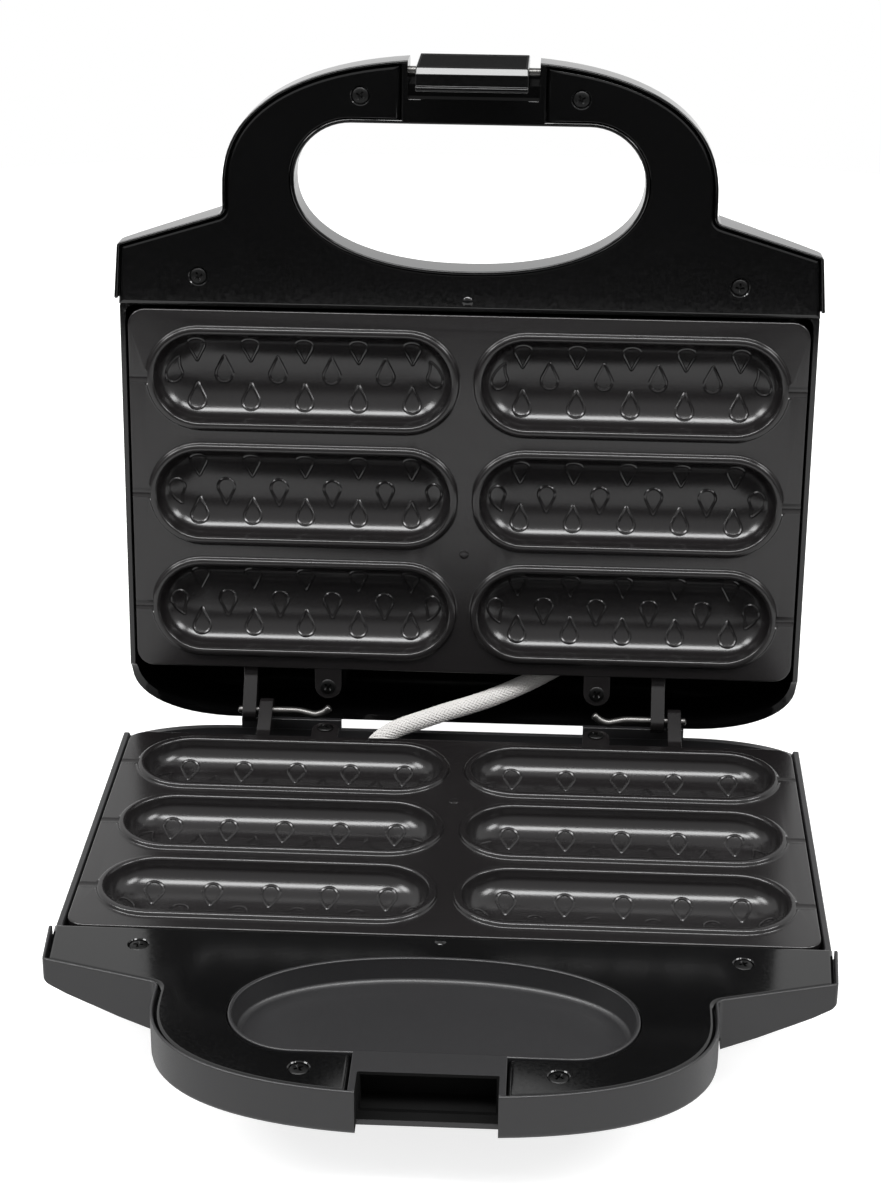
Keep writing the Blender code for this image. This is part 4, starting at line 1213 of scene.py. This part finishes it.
RED_LENS = surface("red_lens", tones(0.32, 0.15, (1.0, 0.06, 0.04)), (0.08, 0.14), 500.0, 5.0)
GREEN_LENS = surface("green_lens", tones(0.22, 0.15, (0.08, 1.0, 0.2)), (0.08, 0.14), 500.0, 5.0)
for lens in (RED_LENS, GREEN_LENS):
    lens.node_tree.nodes["Principled BSDF"].inputs["Coat Weight"].default_value = 0.6


# Assembly

def give_matt_black_and_painted_shade(piece, matrix, half_width, s_range, depth_range):
    """Gives the faces within a box of the piece's own frame a dark matt black; in the base's slot it is
    painted shade.
    """
    piece.data.materials.append(MATT_BLACK_AND_PAINTED_SHADE)
    back = matrix.inverted()
    for face in piece.data.polygons:
        centre = back @ face.center
        in_length = s_range[0] < -centre.y < s_range[1]
        in_depth = depth_range[0] < -centre.z < depth_range[1]
        if abs(centre.x) < half_width and in_length and in_depth:
            face.material_index = 1


def add_screw(half, kind, mark, spot, head_top, end, turn):
    screw = make_screw(f"{half}_{kind}_screw_head_{mark}", head_top, end)
    matrix = HALVES[half] @ Matrix.Translation(place(*spot, 0.0)) @ Matrix.Rotation(turn, 4, "Z")
    dress(screw, SCREW_STEEL, half, f"{half}_{kind}_screw_{mark}", matrix)


def dress_half(half, centre, slot_half_width):
    matrix = HALVES[half]
    if half == "base":
        housing = dress(make_base_housing(), SATIN_BLACK, half, "base_housing", matrix)
        # Painted shade: the slot's inside faces get a near-black matt finish that stands in for the shadow in
        # the handle's hollow.
        slot_length = (OVAL_FRONT + SINK, HANDLE_FRONT - GAP)
        slot_depth = (0.8 * MM, HANDLE_DEPTH - 2.0 * MM)
        give_matt_black_and_painted_shade(housing, matrix, BASE_SLOT_HALF_WIDTH + 0.1 * MM, slot_length, slot_depth)
    else:
        dress(make_lid_housing(), GLOSS_BLACK, half, "lid_housing", matrix)
    cover = make_handle_cover(f"{half}_cover", centre, slot_half_width)
    dress(cover, GLOSS_BLACK, half, f"{half}_handle_cover", matrix)
    plate = make_cooking_plate(f"{half}_plate")
    dress(plate, NON_STICK, half, f"{half}_cooking_plate", matrix, 40.0)
    for index, spot in enumerate(SCREW_PLACES, start=1):
        add_screw(half, "cover", index, spot, COVER_TOP + 0.05 * MM, COVER_SCREW_END, 0.5 * index)
    for mark, spot in zip("ab", PLATE_SCREW_PLACES):
        add_screw(half, "plate", mark, spot, TAB_TOP - 0.95 * MM, PLATE_SCREW_END, 0.7)


def dress_inside():
    """The CAD nodes that stay as they are, out of sight in the shells."""
    finishes = {"heating_element": PIN_STEEL, "heat_reflector": SHEET}
    finishes.update(dict.fromkeys(
        ("thermostat", "thermal_fuse", "terminal_block", "power_lamp", "ready_lamp"), CERAMIC))
    for name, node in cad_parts.items():
        for word, finish in finishes.items():
            if name.endswith(word):
                node.material_slots[0].material = finish


def make_object():
    dress_half("base", 0.0, BASE_SLOT_HALF_WIDTH)
    dress_half("lid", -LATCH_CENTRE, LID_NOTCH_HALF_WIDTH)
    dress_inside()
    base = HALVES["base"]
    for side, word in ((-1.0, "left"), (1.0, "right")):
        pin = make_hinge_pin(f"pin_{word}", side)
        dress(pin, PIN_STEEL, "base", f"hinge_pin_{word}", base)
        for row, s in FOOT_ROWS:
            foot = make_foot(f"rubber_foot_{row}_{word}", side * FOOT_SIDE, s)
            dress(foot, RUBBER, "base", f"foot_{row}_{word}", base)
    dress(make_bush("cord_bush"), RUBBER, "base", "inlet_bush", base)
    lenses = (("power", -1.0, "red", RED_LENS), ("ready", 1.0, "green", GREEN_LENS))
    for word, side, colour, finish in lenses:
        lens = make_lens(f"{word}_lens", side)
        dress(lens, finish, "lid", f"{word}_lamp_lens", HALVES["lid"])
    latch = HALVES["lid"] @ Matrix.Translation(place(-LATCH_CENTRE, LATCH_PIVOT_FORWARD, LATCH_PIVOT_DEPTH))
    clip = dress(make_latch_clip("latch_flap"), GLOSS_BLACK, "latch", "latch_clip", latch)
    give_matt_black_and_painted_shade(clip, latch, LATCH_HALF_WIDTH - 0.3 * MM, (3.6 * MM, LATCH_FRONT + SINK), (-26.0 * MM, 0.0))
    dress(make_latch_pin("latch_rod"), PIN_STEEL, "lid", "latch_pin", latch)
    sleeve = dress(make_sleeve("sleeve"), YARN, None, "wiring_sleeve", base)
    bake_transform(sleeve)


# Stage

WHITE = (1.0, 1.0, 1.0, 1.0)
FLOOR_TONE = (0.48, 0.48, 0.48, 1.0)
FLOOR_RADIUS = 1.05
FLOOR_GLOW = 0.78
FLOOR_GLOW_GLOSSY = 0.05
ROOM_LEVEL = 0.04
BACKDROP_TOP = 0.93
CEILING_LEVEL = 0.65


def make_backdrop():
    """Pale floor. It keeps the object's shadow, and shows as white."""
    mesh = bmesh.new()
    mesh.faces.new([mesh.verts.new((x, y, 0.0)) for x, y, corner in circle(0.0, 0.0, FLOOR_RADIUS, 96)])
    floor = add_object("floor", mesh)
    finish = bpy.data.materials.new("pale_floor")
    finish.use_nodes = True
    tree = finish.node_tree
    tree.nodes.clear()
    ray = add_node(tree, "LightPath").outputs
    seen = add_node(tree, "Math", {0: ray["Is Camera Ray"], 1: FLOOR_GLOW}, operation="MULTIPLY")
    mirrored = add_node(tree, "Math", {0: ray["Is Glossy Ray"], 1: FLOOR_GLOW_GLOSSY, 2: seen.outputs[0]},
                        operation="MULTIPLY_ADD")
    glow = add_node(tree, "Emission", {"Strength": mirrored.outputs[0]})
    diffuse = add_node(tree, "BsdfDiffuse", {"Color": FLOOR_TONE})
    both = add_node(tree, "AddShader", {0: diffuse.outputs[0], 1: glow.outputs[0]})
    add_node(tree, "OutputMaterial", {"Surface": both.outputs[0]})
    floor.data.materials.append(finish)


def fade(tree, value, start, end):
    """From 0 at start to 1 at end."""
    ramp = add_node(tree, "MapRange", {"Value": value, "From Min": start, "From Max": end},
                    interpolation_type="SMOOTHSTEP")
    return ramp.outputs["Result"]


def make_world():
    """White to the camera. For reflections it is a white backdrop in a dim room with a light ceiling."""
    world = bpy.data.worlds.new("studio")
    bpy.context.scene.world = world
    world.use_nodes = True
    tree = world.node_tree
    tree.nodes.clear()
    direction = add_node(tree, "TexCoord").outputs["Generated"]
    parts = add_node(tree, "SeparateXYZ", {0: direction}).outputs
    behind = fade(tree, parts["Y"], -0.35, 0.15)
    low = fade(tree, parts["Z"], BACKDROP_TOP + 0.08, BACKDROP_TOP - 0.08)
    above = fade(tree, parts["Z"], -0.02, 0.3)
    backdrop = add_node(tree, "Math", {0: behind, 1: low}, operation="MULTIPLY")
    room = add_node(tree, "Math", {0: above, 1: CEILING_LEVEL, 2: ROOM_LEVEL}, operation="MULTIPLY_ADD")
    level = add_node(tree, "Math", {0: backdrop.outputs[0], 1: room.outputs[0]}, operation="MAXIMUM")
    fill = add_node(tree, "Background", {"Color": WHITE, "Strength": level.outputs[0]})
    white = add_node(tree, "Background", {"Color": WHITE, "Strength": 1.0})
    camera_ray = add_node(tree, "LightPath").outputs["Is Camera Ray"]
    choice = add_node(tree, "MixShader", {"Fac": camera_ray, 1: fill.outputs[0], 2: white.outputs[0]})
    add_node(tree, "OutputWorld", {"Surface": choice.outputs[0]})


def add_lamp(name, location, aim, size, power):
    data = bpy.data.lights.new(name, "AREA")
    data.shape = "RECTANGLE"
    data.size, data.size_y = size
    data.energy = power
    lamp = bpy.data.objects.new(name, data)
    bpy.context.scene.collection.objects.link(lamp)
    lamp.location = location
    lamp.rotation_euler = (Vector(aim) - Vector(location)).to_track_quat("-Z", "Y").to_euler()


def make_camera():
    data = bpy.data.cameras.new("camera")
    data.lens = CAMERA_LENS
    data.shift_x = CAMERA_SHIFT
    data.clip_start = 0.01
    camera = bpy.data.objects.new("camera", data)
    bpy.context.scene.collection.objects.link(camera)
    placed = Matrix.Translation(CAMERA_PLACE)
    for angle, axis in ((-CAMERA_YAW, "Z"), (90.0 - CAMERA_PITCH, "X"), (CAMERA_ROLL, "Z")):
        placed = placed @ Matrix.Rotation(math.radians(angle), 4, axis)
    camera.matrix_world = placed
    bpy.context.scene.camera = camera


make_camera()
make_object()
make_backdrop()
make_world()
add_lamp("softbox", (-0.15, -0.78, 2.2), (0.0, 0.05, 0.1), (2.8, 0.6), 85.0)
for side in (-1.0, 1.0):
    add_lamp("side_softbox", (side * 1.45, -0.5, 1.35), (0.0, 0.0, 0.1), (0.8, 0.5), 16.0)
bpy.context.scene.view_settings.view_transform = "Standard"
